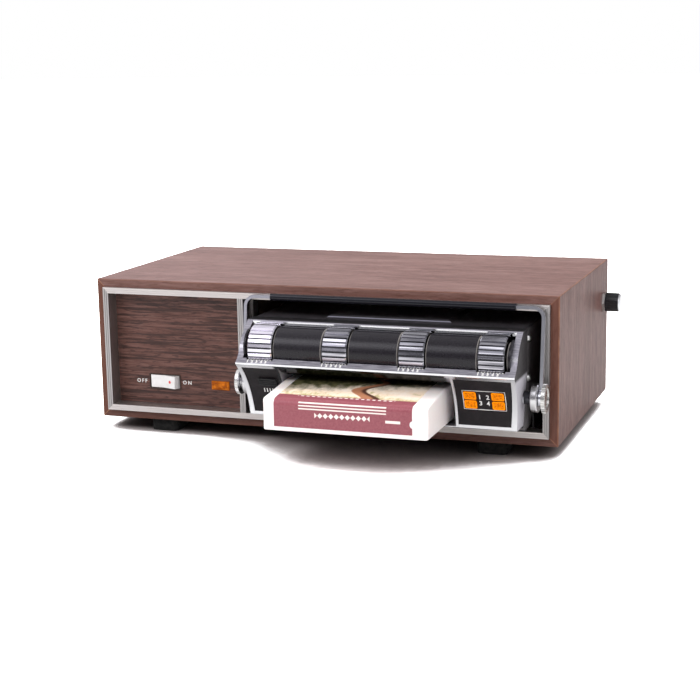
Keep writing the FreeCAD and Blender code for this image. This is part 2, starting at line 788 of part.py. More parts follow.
def cove_skin(front, back, x0, x1, z0, z1):
    """A curved plate that follows the cove, from front to back behind its face."""
    (a, b), (c, d) = cove_ends(front), cove_ends(back)
    plate = prism("yz", [a, bowed(a, b, cove_sag), d, bowed(d, c, -cove_sag)], x0, x1)
    return plate.common(box(x0, x1, ledge_y, bezel_back, z0, z1))


def bezel_side_path():
    """The bezel's outline in side view: roof, sloping cheek, ledge lip, cove and foot."""
    top, foot = cove_ends(0.0)
    brow = (roof_y - 0.8, deck_top - 1.4)
    cheek = (cheek_y, cheek_z)
    lip = (ledge_y + 0.9, ledge_z + 0.5)
    return [(bezel_back, deck_top), (roof_y + 1.5, deck_top), bowed((roof_y + 1.5, deck_top), brow, -0.4),
            bowed(brow, cheek, -0.9), bowed(cheek, lip, 1.0), (ledge_y, ledge_z),
            (ledge_y, ledge_z - ledge_lip + 0.4), top, bowed(top, foot, cove_sag),
            (cove_y + 0.4, bezel_base), (bezel_back, bezel_base)]


def on_barrel(r, angle):
    """The point in side view on a circle about the barrel's axis, at an angle below its front."""
    turn = math.radians(angle)
    return barrel_y - r * math.cos(turn), barrel_z - r * math.sin(turn)


def wheel_centres():
    """The thumbwheels' middles along the axle."""
    return [xc + (i - 1.5) * wheel_pitch for i in range(4)]


def front_bezel():
    """The die-cast bezel: cheeks, notched roof, ledge, hollow lower front and cartridge mouth."""
    left, right = xc - deck_half, xc + deck_half
    inner_left, inner_right = left + bezel_wall, right - bezel_wall
    body = prism("yz", bezel_side_path(), left - flare, right + flare)
    front_view = [(left + foot_taper_in, bezel_base - 1.0), (right - foot_taper_in, bezel_base - 1.0),
                  (right + flare, ledge_z), (right + flare, deck_top + 1.0),
                  (left - flare, deck_top + 1.0), (left - flare, ledge_z)]
    body = body.common(prism("xz", front_view, -60.0, 20.0))

    # the barrel's trough, open to the front between the cheeks, behind a ledge with a rounded crown
    trough_top = deck_top - roof_t
    wall_front = bezel_back - back_wall
    crown = on_barrel(barrel_r + barrel_gap, ledge_back_angle)
    trough = prism("yz", [crown, bowed(crown, (ledge_y, ledge_z), ledge_crown), (ledge_y - 6.0, ledge_z),
                          (ledge_y - 6.0, deck_top + 5.0), (roof_y, deck_top + 5.0),
                          (roof_y, trough_top), (wall_front, trough_top), (wall_front, barrel_z),
                          (barrel_y, barrel_z)], inner_left, inner_right)
    round_floor = rod(barrel_r + barrel_gap, V(inner_left, barrel_y, barrel_z),
                      V(inner_right, barrel_y, barrel_z))
    body = body.cut(trough).cut(round_floor)
    for x in wheel_centres():
        half = wheel_w / 2 + wheel_gap
        body = body.cut(rod(wheel_r + barrel_gap, V(x - half, barrel_y, barrel_z),
                            V(x + half, barrel_y, barrel_z)))

    # the mouth, whose ceiling rises towards the lip below the trough
    ceiling = [(ledge_y - 4.0, ledge_z - 2.7), (-38.0, ledge_z - 2.7), (-33.0, ledge_z - 6.1),
               (-28.0, ledge_z - 8.1), (bezel_back, ledge_z - 8.9)]
    mouth = prism("yz", [(ledge_y - 4.0, mouth_floor)] + ceiling + [(bezel_back, mouth_floor)],
                  mouth_x0, mouth_x1)
    body = body.cut(mouth)

    # the spaces behind the two side panels, open to the back
    for x0, x1 in ((inner_left, mouth_x0 - mouth_rib), (mouth_x1 + mouth_rib, inner_right)):
        top, foot = cove_ends(bezel_wall + fascia_t)
        top = (top[0] + 2.0, top[1] - 3.6)
        foot = (foot[0], bezel_base + bezel_wall)
        hollow = prism("yz", [(bezel_back, ledge_z - 9.0), (-28.0, ledge_z - 8.6), (-33.0, ledge_z - 6.8),
                              top, bowed(top, foot, cove_sag * 0.8), (bezel_back, foot[1])], x0, x1)
        body = body.cut(hollow)

    # the shallow seats for the side panels, the lamp and button openings, and the pivots' flat pads
    for side in ("left", "right"):
        body = body.cut(fascia_plate(side, 0.0))
    body = body.cut(lamp_window(0.4)).cut(button_block(0.2, -6.0, bezel_wall + fascia_t + 2.0))
    for side in (-1, 1):
        wall = xc + side * (deck_half - bezel_wall)
        face = xc + side * pad_half
        body = body.fuse(rod(pivot_pad_r, V(wall, pivot_y, pivot_z), V(face, pivot_y, pivot_z)))
        body = body.cut(rod(stud_r + running, V(wall - side, pivot_y, pivot_z),
                            V(face + side, pivot_y, pivot_z)))
        body = body.cut(rod(axle_r + running, V(wall - side, barrel_y, barrel_z),
                            V(wall + side * axle_seat, barrel_y, barrel_z)))

    # ears that reach back inside the case's sides
    for side in (-1, 1):
        outer = xc + side * (deck_half - sheet)
        inner = outer - side * 2.4
        ear = box(min(outer, inner), max(outer, inner), bezel_back, 6.0, 36.0, deck_top - sheet - 0.5)
        for y, z in side_screws:
            ear = ear.cut(rod(1.5, V(xc - deck_half, y, z), V(xc + deck_half, y, z)))
        body = body.fuse(ear)
    return body.removeSplitter()


def fascia_plate(side, gap):
    """A side panel's curved plate: its outer edge slants inwards towards the foot."""
    plate_z0, plate_z1 = fascia_foot + gap, ledge_z - 3.3 - gap
    if side == "left":
        inner = mouth_x0 - mouth_rib - gap
        outer_top = xc - deck_half + 1.6 + gap
        outer_foot = xc - deck_half + 4.0 + gap
    else:
        inner = mouth_x1 + mouth_rib + gap
        outer_top = xc + deck_half - 1.6 - gap
        outer_foot = xc + deck_half - 4.4 - gap
    x0, x1 = min(inner, outer_top, outer_foot), max(inner, outer_top, outer_foot)
    plate = cove_skin(0.0 if gap == 0 else 0.15, fascia_t, x0, x1, plate_z0, plate_z1)
    wedge = prism("xz", [(inner, plate_z0), (outer_foot, plate_z0), (outer_top, plate_z1),
                         (inner, plate_z1)], -60.0, 20.0)
    return plate.common(wedge)


def button_block(gap, front, back):
    """The push button's outline between two depths behind the cove's face."""
    return cove_skin(front, back, button_x - button_w / 2 - gap, button_x + button_w / 2 + gap,
                     button_z - button_h / 2 - gap, button_z + button_h / 2 + gap)


def left_fascia():
    """The left side panel, pierced for the programme button."""
    return fascia_plate("left", 0.12).cut(button_block(0.2, -2.0, fascia_t + 1.0))


def program_button():
    """The black push button: a ribbed face that follows the cove, and two wings that keep it in."""
    button = button_block(0.0, -button_proud, button_len)
    flange = button_w / 2 + button_flange
    button = button.fuse(cove_skin(button_len - button_flange, button_len,
                                   button_x - flange, button_x + flange,
                                   button_z - button_h / 2, button_z + button_h / 2 - button_flange))
    pitch = button_h / (button_ribs + 1)
    for i in range(button_ribs):
        z = button_z - button_h / 2 + (i + 1) * pitch
        groove = cove_skin(-button_proud, -button_proud + 0.5,
                           button_x - button_w / 2, button_x + button_w / 2, z - 0.3, z + 0.3)
        button = button.cut(groove)
    return button


def lamp_window(gap):
    """The through opening for the four indicator lenses."""
    half_x = lamp_dx + lamp_w / 2 + gap
    half_z = lamp_dz + lamp_h / 2 + gap
    return box(lamp_x - half_x, lamp_x + half_x, -60.0, bezel_back - 4.0,
               lamp_z - half_z, lamp_z + half_z)


def right_fascia():
    """The right side panel, pierced for the four lenses."""
    plate = fascia_plate("right", 0.12)
    for dx in (-lamp_dx, lamp_dx):
        for dz in (-lamp_dz, lamp_dz):
            x, z = lamp_x + dx, lamp_z + dz
            plate = plate.cut(box(x - lamp_w / 2 - 0.1, x + lamp_w / 2 + 0.1, -60.0, 20.0,
                                  z - lamp_h / 2 - 0.1, z + lamp_h / 2 + 0.1))
    return plate


def indicator_lenses():
    """Four amber lenses, standing slightly proud of the panel and following its curve."""
    lenses = []
    for dx in (-lamp_dx, lamp_dx):
        for dz in (-lamp_dz, lamp_dz):
            x, z = lamp_x + dx, lamp_z + dz
            lenses.append(cove_skin(-lamp_proud, 2.0, x - lamp_w / 2, x + lamp_w / 2,
                                    z - lamp_h / 2, z + lamp_h / 2))
    return lenses


def lamp_block():
    """The black light box behind the lenses, with a cell and a small bulb for each."""
    half_x = lamp_dx + lamp_w / 2
    half_z = lamp_dz + lamp_h / 2
    block = cove_skin(2.0, 10.0, lamp_x - half_x, lamp_x + half_x,
                      lamp_z - half_z, lamp_z + half_z)
    for dx in (-lamp_dx, lamp_dx):
        for dz in (-lamp_dz, lamp_dz):
            x, z = lamp_x + dx, lamp_z + dz
            block = block.cut(cove_skin(2.0, 8.0, x - lamp_w / 2 + 0.8, x + lamp_w / 2 - 0.8,
                                        z - lamp_h / 2 + 0.8, z + lamp_h / 2 - 0.8))
    return block


# ---------------------------------------------------------------- thumbwheels
def thumbwheel(x):
    """A chrome thumbwheel: straight ribs, bevelled rims and a running bore."""
    rim = fluted(wheel_r, wheel_rib_depth, wheel_ribs, wheel_rib_share)
    path = [(u + barrel_y, v + barrel_z) for u, v in rim]
    ribs = prism("yz", path, x - wheel_w / 2, x + wheel_w / 2)
    rim = 0.8
    half = [(axle_r + running, 0), (wheel_r - rim, 0), (wheel_r, rim), (wheel_r, wheel_w - rim),
            (wheel_r - rim, wheel_w), (axle_r + running, wheel_w)]
    return ribs.common(turned(V(x - wheel_w / 2, barrel_y, barrel_z), V(1, 0, 0), half))


def barrel_gaps():
    """The spans along the axle between neighbouring wheels."""
    centres = wheel_centres()
    half = wheel_w / 2 + wheel_gap
    return [(a + half, b - half) for a, b in zip(centres, centres[1:])]


def control_barrels():
    """The three satin black controls between the wheels, and a stepped black collar at each end."""
    edge = 0.5
    controls = []
    for x0, x1 in barrel_gaps():
        length = x1 - x0
        half = [(axle_r, 0), (barrel_r - edge, 0), (barrel_r, edge), (barrel_r, length - edge),
                (barrel_r - edge, length), (axle_r, length)]
        controls.append(turned(V(x0, barrel_y, barrel_z), V(1, 0, 0), half))
    step = collar_t * 0.45
    collar = [(axle_r, 0), (barrel_r - 1.5, 0), (barrel_r - 1.5, step),
              (barrel_r - 3.0, step), (barrel_r - 3.0, collar_t), (axle_r, collar_t)]
    for side in (-1, 1):
        wall = xc + side * (deck_half - bezel_wall)
        controls.append(turned(V(wall, barrel_y, barrel_z), V(-side, 0, 0), collar))
    return controls


def wheel_axle():
    """The fixed steel rod that the wheels turn on, seated in both cheeks."""
    reach = deck_half - bezel_wall + axle_seat
    return rod(axle_r, V(xc - reach, barrel_y, barrel_z), V(xc + reach, barrel_y, barrel_z))


# ---------------------------------------------------------------- handle
def handle_strap():
    """The bent steel handle: two arms with pivot eyes and a straight top, leaning on the trim."""
    out = arm_in + strap_x
    top = pivot_z + handle_reach + strap_x / 2
    y0, y1 = pivot_y - strap_y / 2, pivot_y + strap_y / 2
    bow = prism("xz", rounded(handle_x - out, handle_x + out, pivot_z - 20.0, top, strap_round), y0, y1)
    bow = bow.cut(prism("xz", rounded(handle_x - arm_in, handle_x + arm_in, pivot_z - 22.0, top - strap_x,
                                      strap_round - strap_x), y0, y1))
    bow = bow.cut(box(handle_x - out, handle_x + out, y0, y1, pivot_z - 25.0, pivot_z))
    for side in (-1, 1):
        start = V(handle_x + side * arm_in, pivot_y, pivot_z)
        end = V(handle_x + side * out, pivot_y, pivot_z)
        bow = bow.fuse(rod(eye_r, start, end))
        bow = bow.cut(rod(stud_r + running, start - V(side, 0, 0), end + V(side, 0, 0)))
    bow.rotate(V(xc, pivot_y, pivot_z), V(1, 0, 0), -handle_lean)
    return bow


def handle_grip():
    """The black sleeve moulded over the handle's straight top."""
    mid_z = pivot_z + handle_reach
    sleeve = prism("yz", rounded(pivot_y - grip_d / 2, pivot_y + grip_d / 2, mid_z - grip_h / 2,
                                 mid_z + grip_h / 2, 1.9), handle_x - grip_half, handle_x + grip_half)
    sleeve = sleeve.cut(box(handle_x - grip_half, handle_x + grip_half, pivot_y - strap_y / 2,
                            pivot_y + strap_y / 2, mid_z - strap_x / 2, mid_z + strap_x / 2))
    sleeve.rotate(V(xc, pivot_y, pivot_z), V(1, 0, 0), -handle_lean)
    return sleeve


def spacer_discs():
    """Two bright discs on bosses that hold the handle's arms away from the case."""
    discs = []
    for side in (-1, 1):
        stand = disc_stand + side * handle_off
        half = [(stud_r + running, 0), (4.0, 0), (4.0, stand), (disc_r - 0.8, stand),
                (disc_r, stand + 0.6), (disc_r, stand + disc_t - 0.6),
                (disc_r - 0.6, stand + disc_t), (stud_r + running, stand + disc_t)]
        discs.append(turned(V(xc + side * pad_half, pivot_y, pivot_z), V(side, 0, 0), half))
    return discs


def thumb_knob(side):
    """A knurled thumb knob with a dished face and the stud it turns on."""
    start = handle_x + side * knob_in
    end = start + side * knob_t
    path = [(u + pivot_y, v + pivot_z) for u, v in fluted(disc_r + 0.1, 0.3, knob_teeth, 0.4)]
    knob = prism("yz", path, start, end)
    knob = knob.cut(rod(disc_r - 2.0, V(end, pivot_y, pivot_z), V(end - side * 0.6, pivot_y, pivot_z)))
    stud = rod(stud_r, V(xc + side * (deck_half - 6.0), pivot_y, pivot_z), V(start, pivot_y, pivot_z))
    return knob.fuse(stud)


# ---------------------------------------------------------------- tape drive
def guide_channel():
    """The cartridge's guide: a raised floor with a full left rail and a low right rail."""
    y0, y1 = bezel_back + 0.1, 64.0
    floor = box(cart_x0 - slide_gap - sheet, cart_x1 + slide_gap + sheet, y0, y1,
                cart_z - slide_gap - sheet, cart_z - slide_gap)
    left = box(cart_x0 - slide_gap - sheet, cart_x0 - slide_gap, y0, y1, deck_floor, cart_z + 14.0)
    right = box(cart_x1 + slide_gap, cart_x1 + slide_gap + sheet, y0, y1, deck_floor, cart_z + 3.5)
    return floor.fuse(left).fuse(right).removeSplitter()


def mech_plate():
    """The drive's sub-plate above the cartridge, on four posts from the case's floor."""
    x0, x1 = xc - deck_half + plate_margin, xc + deck_half - plate_margin
    y0, y1 = plate_front, deck_back - plate_margin
    plate = box(x0, x1, y0, y1, plate_z, plate_z + plate_t)
    plate = plate.cut(rod(3.2, V(roller_x, capstan_y, plate_z), V(roller_x, capstan_y, plate_z + plate_t)))
    plate = plate.cut(rod(3.0, V(xc + motor_x, motor_y, plate_z),
                          V(xc + motor_x, motor_y, plate_z + plate_t)))
    for x in (x0 + post_inset, x1 - post_inset):
        for y in (y0 + post_inset, y1 - post_inset):
            plate = plate.fuse(rod(3.0, V(x, y, deck_floor), V(x, y, plate_z)))
    return plate


def capstan_bearing():
    """The capstan's upper bearing: a flanged bronze sleeve pressed into the sub-plate."""
    bore = capstan_r + running
    half = [(bore, -1.2), (3.2, -1.2), (3.2, plate_t), (5.5, plate_t), (5.5, plate_t + bearing_h / 2),
            (4.0, plate_t + bearing_h), (bore, plate_t + bearing_h)]
    return turned(V(roller_x, capstan_y, plate_z), V(0, 0, 1), half)


def flywheel():
    """The heavy turned flywheel with a thick rim, a thin web and a hub."""
    half = [(capstan_r, 0), (5.0, 0), (5.0, 2.5), (fly_r - 7.0, 2.5), (fly_r - 7.0, 0), (fly_r, 0),
            (fly_r, fly_t), (fly_r - 7.0, fly_t), (fly_r - 7.0, 5.0), (6.0, 5.0),
            (6.0, fly_t + 2.0), (capstan_r, fly_t + 2.0)]
    return turned(V(roller_x, capstan_y, fly_z), V(0, 0, 1), half)


def capstan():
    """The ground capstan shaft, pressed into the flywheel and hanging past the cartridge's end."""
    return rod(capstan_r, V(roller_x, capstan_y, deck_floor + 0.85),
               V(roller_x, capstan_y, fly_z + fly_t + 2.0))


def drive_motor():
    """The can-shaped motor under the sub-plate, with its neck through the plate."""
    x, y = xc + motor_x, motor_y
    half = [(1.2 + running, 1.0), (motor_r - 1.5, 1.0), (motor_r, 2.5), (motor_r, motor_h),
            (3.0, motor_h), (3.0, motor_h + plate_t), (1.2 + running, motor_h + plate_t)]
    return turned(V(x, y, plate_z - motor_h), V(0, 0, 1), half)


def motor_pulley():
    """The crowned brass pulley on the motor's shaft."""
    x, y = xc + motor_x, motor_y
    shaft = rod(1.2, V(x, y, plate_z - motor_h + 3.0), V(x, y, fly_z + fly_t))
    half = [(0, 0), (pulley_r + 1.0, 0), (pulley_r + 1.0, 0.8), (pulley_r, 1.2), (pulley_r, 5.8),
            (pulley_r + 1.0, 6.2), (pulley_r + 1.0, 7.0), (0, 7.0)]
    return shaft.fuse(turned(V(x, y, fly_z + 0.5), V(0, 0, 1), half))


def belt_loop(extra, z0, z1):
    """The space inside a belt round both pulleys, its rim standing off them by extra."""
    ax, ay = xc + motor_x, motor_y
    bx, by = roller_x, capstan_y
    ra, rb = pulley_r + extra, fly_r + extra
    heading = math.atan2(by - ay, bx - ax)
    spread = math.acos((ra - rb) / math.hypot(bx - ax, by - ay))

    def on(cx, cy, r, angle):
        return (cx + r * math.cos(angle), cy + r * math.sin(angle))

    a0, a1 = on(ax, ay, ra, heading + spread), on(ax, ay, ra, heading - spread)
    b0, b1 = on(bx, by, rb, heading - spread), on(bx, by, rb, heading + spread)
    path = [a0, on(ax, ay, ra, heading + math.pi) + a1, b0, on(bx, by, rb, heading) + b1]
    return prism("xy", path, z0, z1)


def drive_belt():
    """The flat rubber belt from the motor's pulley to the flywheel's rim."""
    z0 = fly_z + fly_t / 2 - belt_w / 2
    return belt_loop(slide_gap + belt_t, z0, z0 + belt_w).cut(belt_loop(slide_gap, z0, z0 + belt_w))


def tape_head():
    """The playback head: a rounded nose block with its rear terminals."""
    x, y = xc + head_x, cart_end + slide_gap
    nose = prism("xy", [(x - 5.0, y + 3.0), (x, y, x + 5.0, y + 3.0), (x + 5.0, y + 9.0),
                        (x - 5.0, y + 9.0)], cart_z + 4.0, cart_z + 18.0)
    for dx in (-3.0, -1.0, 1.0, 3.0):
        nose = nose.cut(box(x + dx - 0.15, x + dx + 0.15, y - 1.0, y + 1.2, cart_z + 6.0, cart_z + 16.0))
    return nose


def head_carriage():
    """The head's carriage: a sleeve on its guide post, with an arm over the stepped cam."""
    x, y = xc + head_x, cart_end + slide_gap
    block = box(x - 6.0, x + 6.0, y + 9.0, carriage_y + 4.0, cart_z + 2.0, cart_z + 18.5)
    arm_z = cam_base + 7.0 + follower_gap
    arm = box(xc + cam_x + 4.0, x - 6.0, carriage_y - 1.0, carriage_y + 1.0, arm_z, arm_z + 4.0)
    block = block.fuse(arm)
    return block.cut(rod(post_r + running, V(x, carriage_y, cart_z), V(x, carriage_y, cart_z + 20.0)))


def step_cam():
    """The channel cam: a ratchet wheel below four rising steps, one for each programme."""
    x, y = xc + cam_x, carriage_y
    teeth = 12
    path = []
    for i in range(teeth):
        for turn, radius in ((0.0, cam_r), (0.08, cam_r - 1.6)):
            angle = (i + turn) * 2 * math.pi / teeth
            path.append((x + radius * math.cos(angle), y + radius * math.sin(angle)))
    cam = prism("xy", path, cam_base, cam_base + 3.0)
    reach = 7.0
    for i in range(4):
        rise = 7.0 + i * head_travel / 3
        mid = math.radians(-90.0 * i)
        quarter = [(x, y)]
        quarter.append((x + reach * math.cos(mid - math.pi / 4), y + reach * math.sin(mid - math.pi / 4)))
        quarter.append((x + reach * math.cos(mid), y + reach * math.sin(mid),
                        x + reach * math.cos(mid + math.pi / 4), y + reach * math.sin(mid + math.pi / 4)))
        cam = cam.fuse(prism("xy", quarter, cam_base, cam_base + rise))
    return cam.cut(rod(post_r + running, V(x, y, cam_base), V(x, y, cam_base + 12.0)))


def solenoid():
    """The programme solenoid: a wound bobbin in a steel yoke, on the case's floor."""
    y = carriage_y + cam_r - 2.0
    x0 = xc - solenoid_left
    x1 = x0 + solenoid_len
    coil = rod(8.0, V(x0 + 2.0, y, solenoid_z), V(x1 - 2.0, y, solenoid_z))
    yoke = box(x0, x1, y - 9.0, y + 9.0, deck_floor, deck_floor + 2.0)
    for x in (x0, x1 - 2.0):
        yoke = yoke.fuse(box(x, x + 2.0, y - 9.0, y + 9.0, deck_floor, solenoid_z + 9.0))
    bore = rod(3.5 + running, V(x0 + 3.0, y, solenoid_z), V(x1 + 1.0, y, solenoid_z))
    return coil.fuse(yoke).cut(bore)


def solenoid_plunger():
    """The plunger and the pawl blade that pulls the cam's ratchet round."""
    y = carriage_y + cam_r - 2.0
    x1 = xc - solenoid_left + solenoid_len
    core = rod(3.5, V(x1 - 16.0, y, solenoid_z), V(x1 + 6.0, y, solenoid_z))
    blade = box(x1 + 4.5, x1 + 6.0, y - 3.0, y + 3.0, cam_base, solenoid_z + 3.0)
    hook = box(x1 + 4.5, xc + cam_x - cam_r - 0.5, y - 1.5, y + 1.5, cam_base, cam_base + 3.0)
    return core.fuse(blade).fuse(hook)


def detent_arm():
    """The sprung arm that presses the holding roller against the cartridge's flank."""
    px, py = xc + detent_x, detent_y
    rx, ry = cart_x1 + slide_gap + detent_roller_r, notch_y
    z0 = cart_top - 3.0
    span = math.hypot(rx - px, ry - py)
    ux, uy = (rx - px) / span, (ry - py) / span
    nx, ny = -uy * 3.5, ux * 3.5
    arm = prism("xy", [(px + nx, py + ny), (px - ux * 3.5, py - uy * 3.5, px - nx, py - ny),
                       (rx - nx * 0.7, ry - ny * 0.7),
                       (rx + ux * 2.4, ry + uy * 2.4, rx + nx * 0.7, ry + ny * 0.7)],
                z0, z0 + 1.6)
    arm = arm.fuse(tube(3.5, post_r + running, V(px, py, z0 - 14.0), V(px, py, z0)))
    arm = arm.fuse(rod(1.2, V(rx, ry, cart_z + 4.0), V(rx, ry, z0)))
    return arm.cut(rod(post_r + running, V(px, py, z0 - 15.0), V(px, py, z0 + 2.0)))


def detent_roller():
    """The nylon roller on the detent arm's pin."""
    rx, ry = cart_x1 + slide_gap + detent_roller_r, notch_y
    return tube(detent_roller_r, 1.2 + running, V(rx, ry, cart_z + 4.5), V(rx, ry, cart_top - 3.4))


def circuit_board():
    """The amplifier board above the drive, on four pillars, with its larger components."""
    x0, x1 = xc - deck_half + plate_margin, xc + board_right
    y0, y1 = board_front, deck_back - plate_margin
    z = deck_top - sheet - board_below
    top = z + supply_t
    board = box(x0, x1, y0, y1, z, top)
    for x in (x0 + 6.0, x1 - 6.0):
        for y in (plate_front + 4.0, y1 - 4.0):
            board = board.fuse(rod(2.5, V(x, y, plate_z + plate_t), V(x, y, z)))
    for x, y, r, h in ((14.0, 16.0, 5.0, 8.0), (28.0, 16.0, 5.0, 8.0), (14.0, 48.0, 4.0, 8.5),
                       (44.0, 70.0, 4.0, 7.0)):
        board = board.fuse(rod(r, V(x0 + x, y0 + y, top), V(x0 + x, y0 + y, top + h)))
    for x, y in ((40.0, 26.0), (40.0, 42.0), (22.0, 70.0)):
        board = board.fuse(box(x0 + x, x0 + x + 10.0, y0 + y, y0 + y + 10.0, top, top + 7.0))
    return board


# ---------------------------------------------------------------- cartridge
def cart_outline(inset):
    """The cartridge in plan: large corners at the label end, small ones at the tape end."""
    x0, x1 = cart_x0 + inset, cart_x1 - inset
    y0, y1 = cart_front + inset, cart_end - inset
    r, s = cart_corner - inset, 2.5 - inset
    k, m = r * (1 - math.sqrt(0.5)), s * (1 - math.sqrt(0.5))
    return [(x0 + k, y0 + k, x0 + r, y0), (x1 - r, y0), (x1 - k, y0 + k, x1, y0 + r), (x1, y1 - s),
            (x1 - m, y1 - m, x1 - s, y1), (x0 + s, y1), (x0 + m, y1 - m, x0, y1 - s), (x0, y0 + r)]


def cart_side(grow, low, back):
    """The cartridge in side view, grown outwards: a round nose and a top that rises to the rear."""
    front = (cart_front - grow, cart_z + cart_nose - cart_nose_r)
    r = cart_nose_r + grow
    k = r * (1 - math.sqrt(0.5))
    nose = (front[0] + r, front[1] + r)
    crest = (cart_front + cart_slope, cart_top + grow)
    return [(front[0], low), front, (front[0] + k, nose[1] - k) + nose, crest,
            (back, crest[1]), (back, low)]


def cart_shell():
    """The whole moulded shell: hollow, with tape-end windows and the holding notch."""
    shell = prism("xy", cart_outline(0.0), cart_z, cart_top)
    shell = shell.common(prism("yz", cart_side(0.0, cart_z, cart_end), cart_x0, cart_x1))
    foot = [e for e in shell.Edges if all(abs(v.Z - cart_z) < 1e-6 for v in e.Vertexes)]
    shell = shell.makeFillet(0.6, foot)
    crown = [e for e in shell.Edges if all(v.Z > cart_z + cart_nose - 0.5 for v in e.Vertexes)
             and abs(e.Vertexes[0].X - e.Vertexes[-1].X) < 1e-6]
    shell = shell.makeFillet(cart_edge, crown)
    hollow = prism("xy", cart_outline(cart_wall), cart_z + cart_wall, cart_top - cart_wall)
    shell = shell.cut(hollow.common(prism("yz", cart_side(-cart_wall, cart_z, cart_end), cart_x0, cart_x1)))
    z0, z1 = cart_z + cart_wall, cart_top - cart_wall
    for x, half in ((roller_x, 9.0), (xc + head_x, 8.0), (cart_x0 + 16.0, 7.0)):
        shell = shell.cut(box(x - half, x + half, cart_end - cart_wall - 1.0, cart_end + 1.0, z0, z1))
    shell = shell.cut(box(roller_x - capstan_r - 1.4, roller_x + capstan_r + 1.4,
                          capstan_y - capstan_r - 0.5, cart_end + 1.0, cart_z - 1.0, cart_top + 1.0))
    notch = prism("xy", [(cart_x1 + 1.0, notch_y - notch_len / 2 - 1.0),
                         (cart_x1 - notch_d, notch_y - notch_len / 2 + 2.0),
                         (cart_x1 - notch_d, notch_y + notch_len / 2 - 2.0),
                         (cart_x1 + 1.0, notch_y + notch_len / 2 + 1.0)], z0 + 1.5, z1 - 2.5)
    skin = prism("xy", [(cart_x1 - cart_wall - 0.5, notch_y - notch_len / 2 - 3.0),
                        (cart_x1 - notch_d - 1.5, notch_y - notch_len / 2 + 1.0),
                        (cart_x1 - notch_d - 1.5, notch_y + notch_len / 2 - 1.0),
                        (cart_x1 - cart_wall - 0.5, notch_y + notch_len / 2 + 3.0),
                        (cart_x1 - cart_wall / 2, notch_y + notch_len / 2 + 3.0),
                        (cart_x1 - cart_wall / 2, notch_y - notch_len / 2 - 3.0)], z0, z1)
    return shell.fuse(skin).cut(notch)


def cartridge_base():
    """The lower half of the shell with the reel's pin and the pinch roller's pin."""
    split = cart_z + cart_split
    half = cart_shell().common(box(cart_x0 - 5, cart_x1 + 5, cart_front - 5, cart_end + 5,
                                   cart_z - 1, split))
    floor = cart_z + cart_wall
    half = half.fuse(rod(reel_pin_r, V(cart_mid, reel_y, floor - 0.5), V(cart_mid, reel_y, floor + 12.0)))
    half = half.fuse(rod(lug_r, V(cart_x1 - lug_inset, cart_front - lug_proud, cart_z + lug_z),
                         V(cart_x1 - lug_inset, cart_front + cart_wall, cart_z + lug_z)))
    return half.fuse(rod(roller_pin_r, V(roller_x, roller_y, floor - 0.5),
                         V(roller_x, roller_y, floor + 11.0)))


def cartridge_lid():
    """The upper half of the shell."""
    split = cart_z + cart_split
    return cart_shell().common(box(cart_x0 - 5, cart_x1 + 5, cart_front - 5, cart_end + 5,
                                   split, cart_top + 1))


def cartridge_label():
    """The paper label, wrapped from the front face over the nose onto the top."""
    x0, x1 = cart_x0 + label_left, cart_x1 - label_right
    low, back = cart_z + label_low, cart_front + label_back
    label = prism("yz", cart_side(label_t, low, back), x0, x1)
    label = label.cut(prism("yz", cart_side(0.0, low, back), x0 - 1, x1 + 1))
    return label.cut(rod(lug_r + 0.3, V(cart_x1 - lug_inset, cart_front - 2.0, cart_z + lug_z),
                         V(cart_x1 - lug_inset, cart_front + 1.0, cart_z + lug_z)))


def tape_reel():
    """The reel: its platform, hub and the wound tape."""
    z = cart_z + cart_wall + 0.6
    bore = reel_pin_r + running
    half = [(bore, 0), (reel_r, 0), (reel_r, reel_t), (pack_r, reel_t), (pack_r, pack_top),
            (hub_r, pack_top), (hub_r, hub_floor), (boss_r, hub_floor), (boss_r, boss_top),
            (bore, boss_top)]
    return turned(V(cart_mid, reel_y, z), V(0, 0, 1), half)


def pinch_roller():
    """The rubber pinch roller in the cartridge's corner."""
    z = cart_z + cart_wall + 0.6
    half = [(roller_pin_r + running, 0), (roller_r - 0.5, 0), (roller_r, 0.5), (roller_r, 8.5),
            (roller_r - 0.5, 9.0), (roller_pin_r + running, 9.0)]
    return turned(V(roller_x, roller_y, z), V(0, 0, 1), half)


# ---------------------------------------------------------------- write every piece
boards = cabinet_boards()
trims = edge_trim()
save("cabinet_top", boards["top"])
save("cabinet_bottom", boards["bottom"])
save("cabinet_sides", boards["left"], boards["right"])
save("long_trims", trims["top"], trims["bottom"])
save("short_trims", trims["left"], trims["right"])
save("trim_divider", trim_divider())
save("partition", partition())
save("back_panel", back_panel())
save("cabinet_screws", *cabinet_screws())
save("rubber_feet", *feet())
save("control_panel", control_panel())
save("rocker_button", rocker_button())
save("rocker_switch", rocker_switch())
save("pilot_lamp", pilot_lamp())
save("transformer", transformer_core(), transformer_coil())
save("power_board", power_board())
save("side_control", side_control())
save("side_knob", side_knob(), side_knob_cap())
save("output_jacks", *output_jacks())
save("cord_gland", cord_gland())
save("dock_tray", dock_tray())
save("dock_socket", dock_socket())

save("deck_chassis", deck_chassis(), deck_plug())
save("deck_cover", deck_cover())
save("deck_screws", *deck_screws())
save("front_bezel", front_bezel())
save("left_fascia", left_fascia())
save("right_fascia", right_fascia())
save("program_button", program_button())
save("indicator_lenses", *indicator_lenses())
save("lamp_block", lamp_block())
for name, x in zip(("volume", "balance", "bass", "treble"), wheel_centres()):
    save(name + "_wheel", thumbwheel(x))
save("control_barrels", *control_barrels())
save("wheel_axle", wheel_axle())
save("handle_strap", handle_strap())
save("handle_grip", handle_grip())
save("spacer_discs", *spacer_discs())
save("left_thumb_knob", thumb_knob(-1))
save("right_thumb_knob", thumb_knob(1))

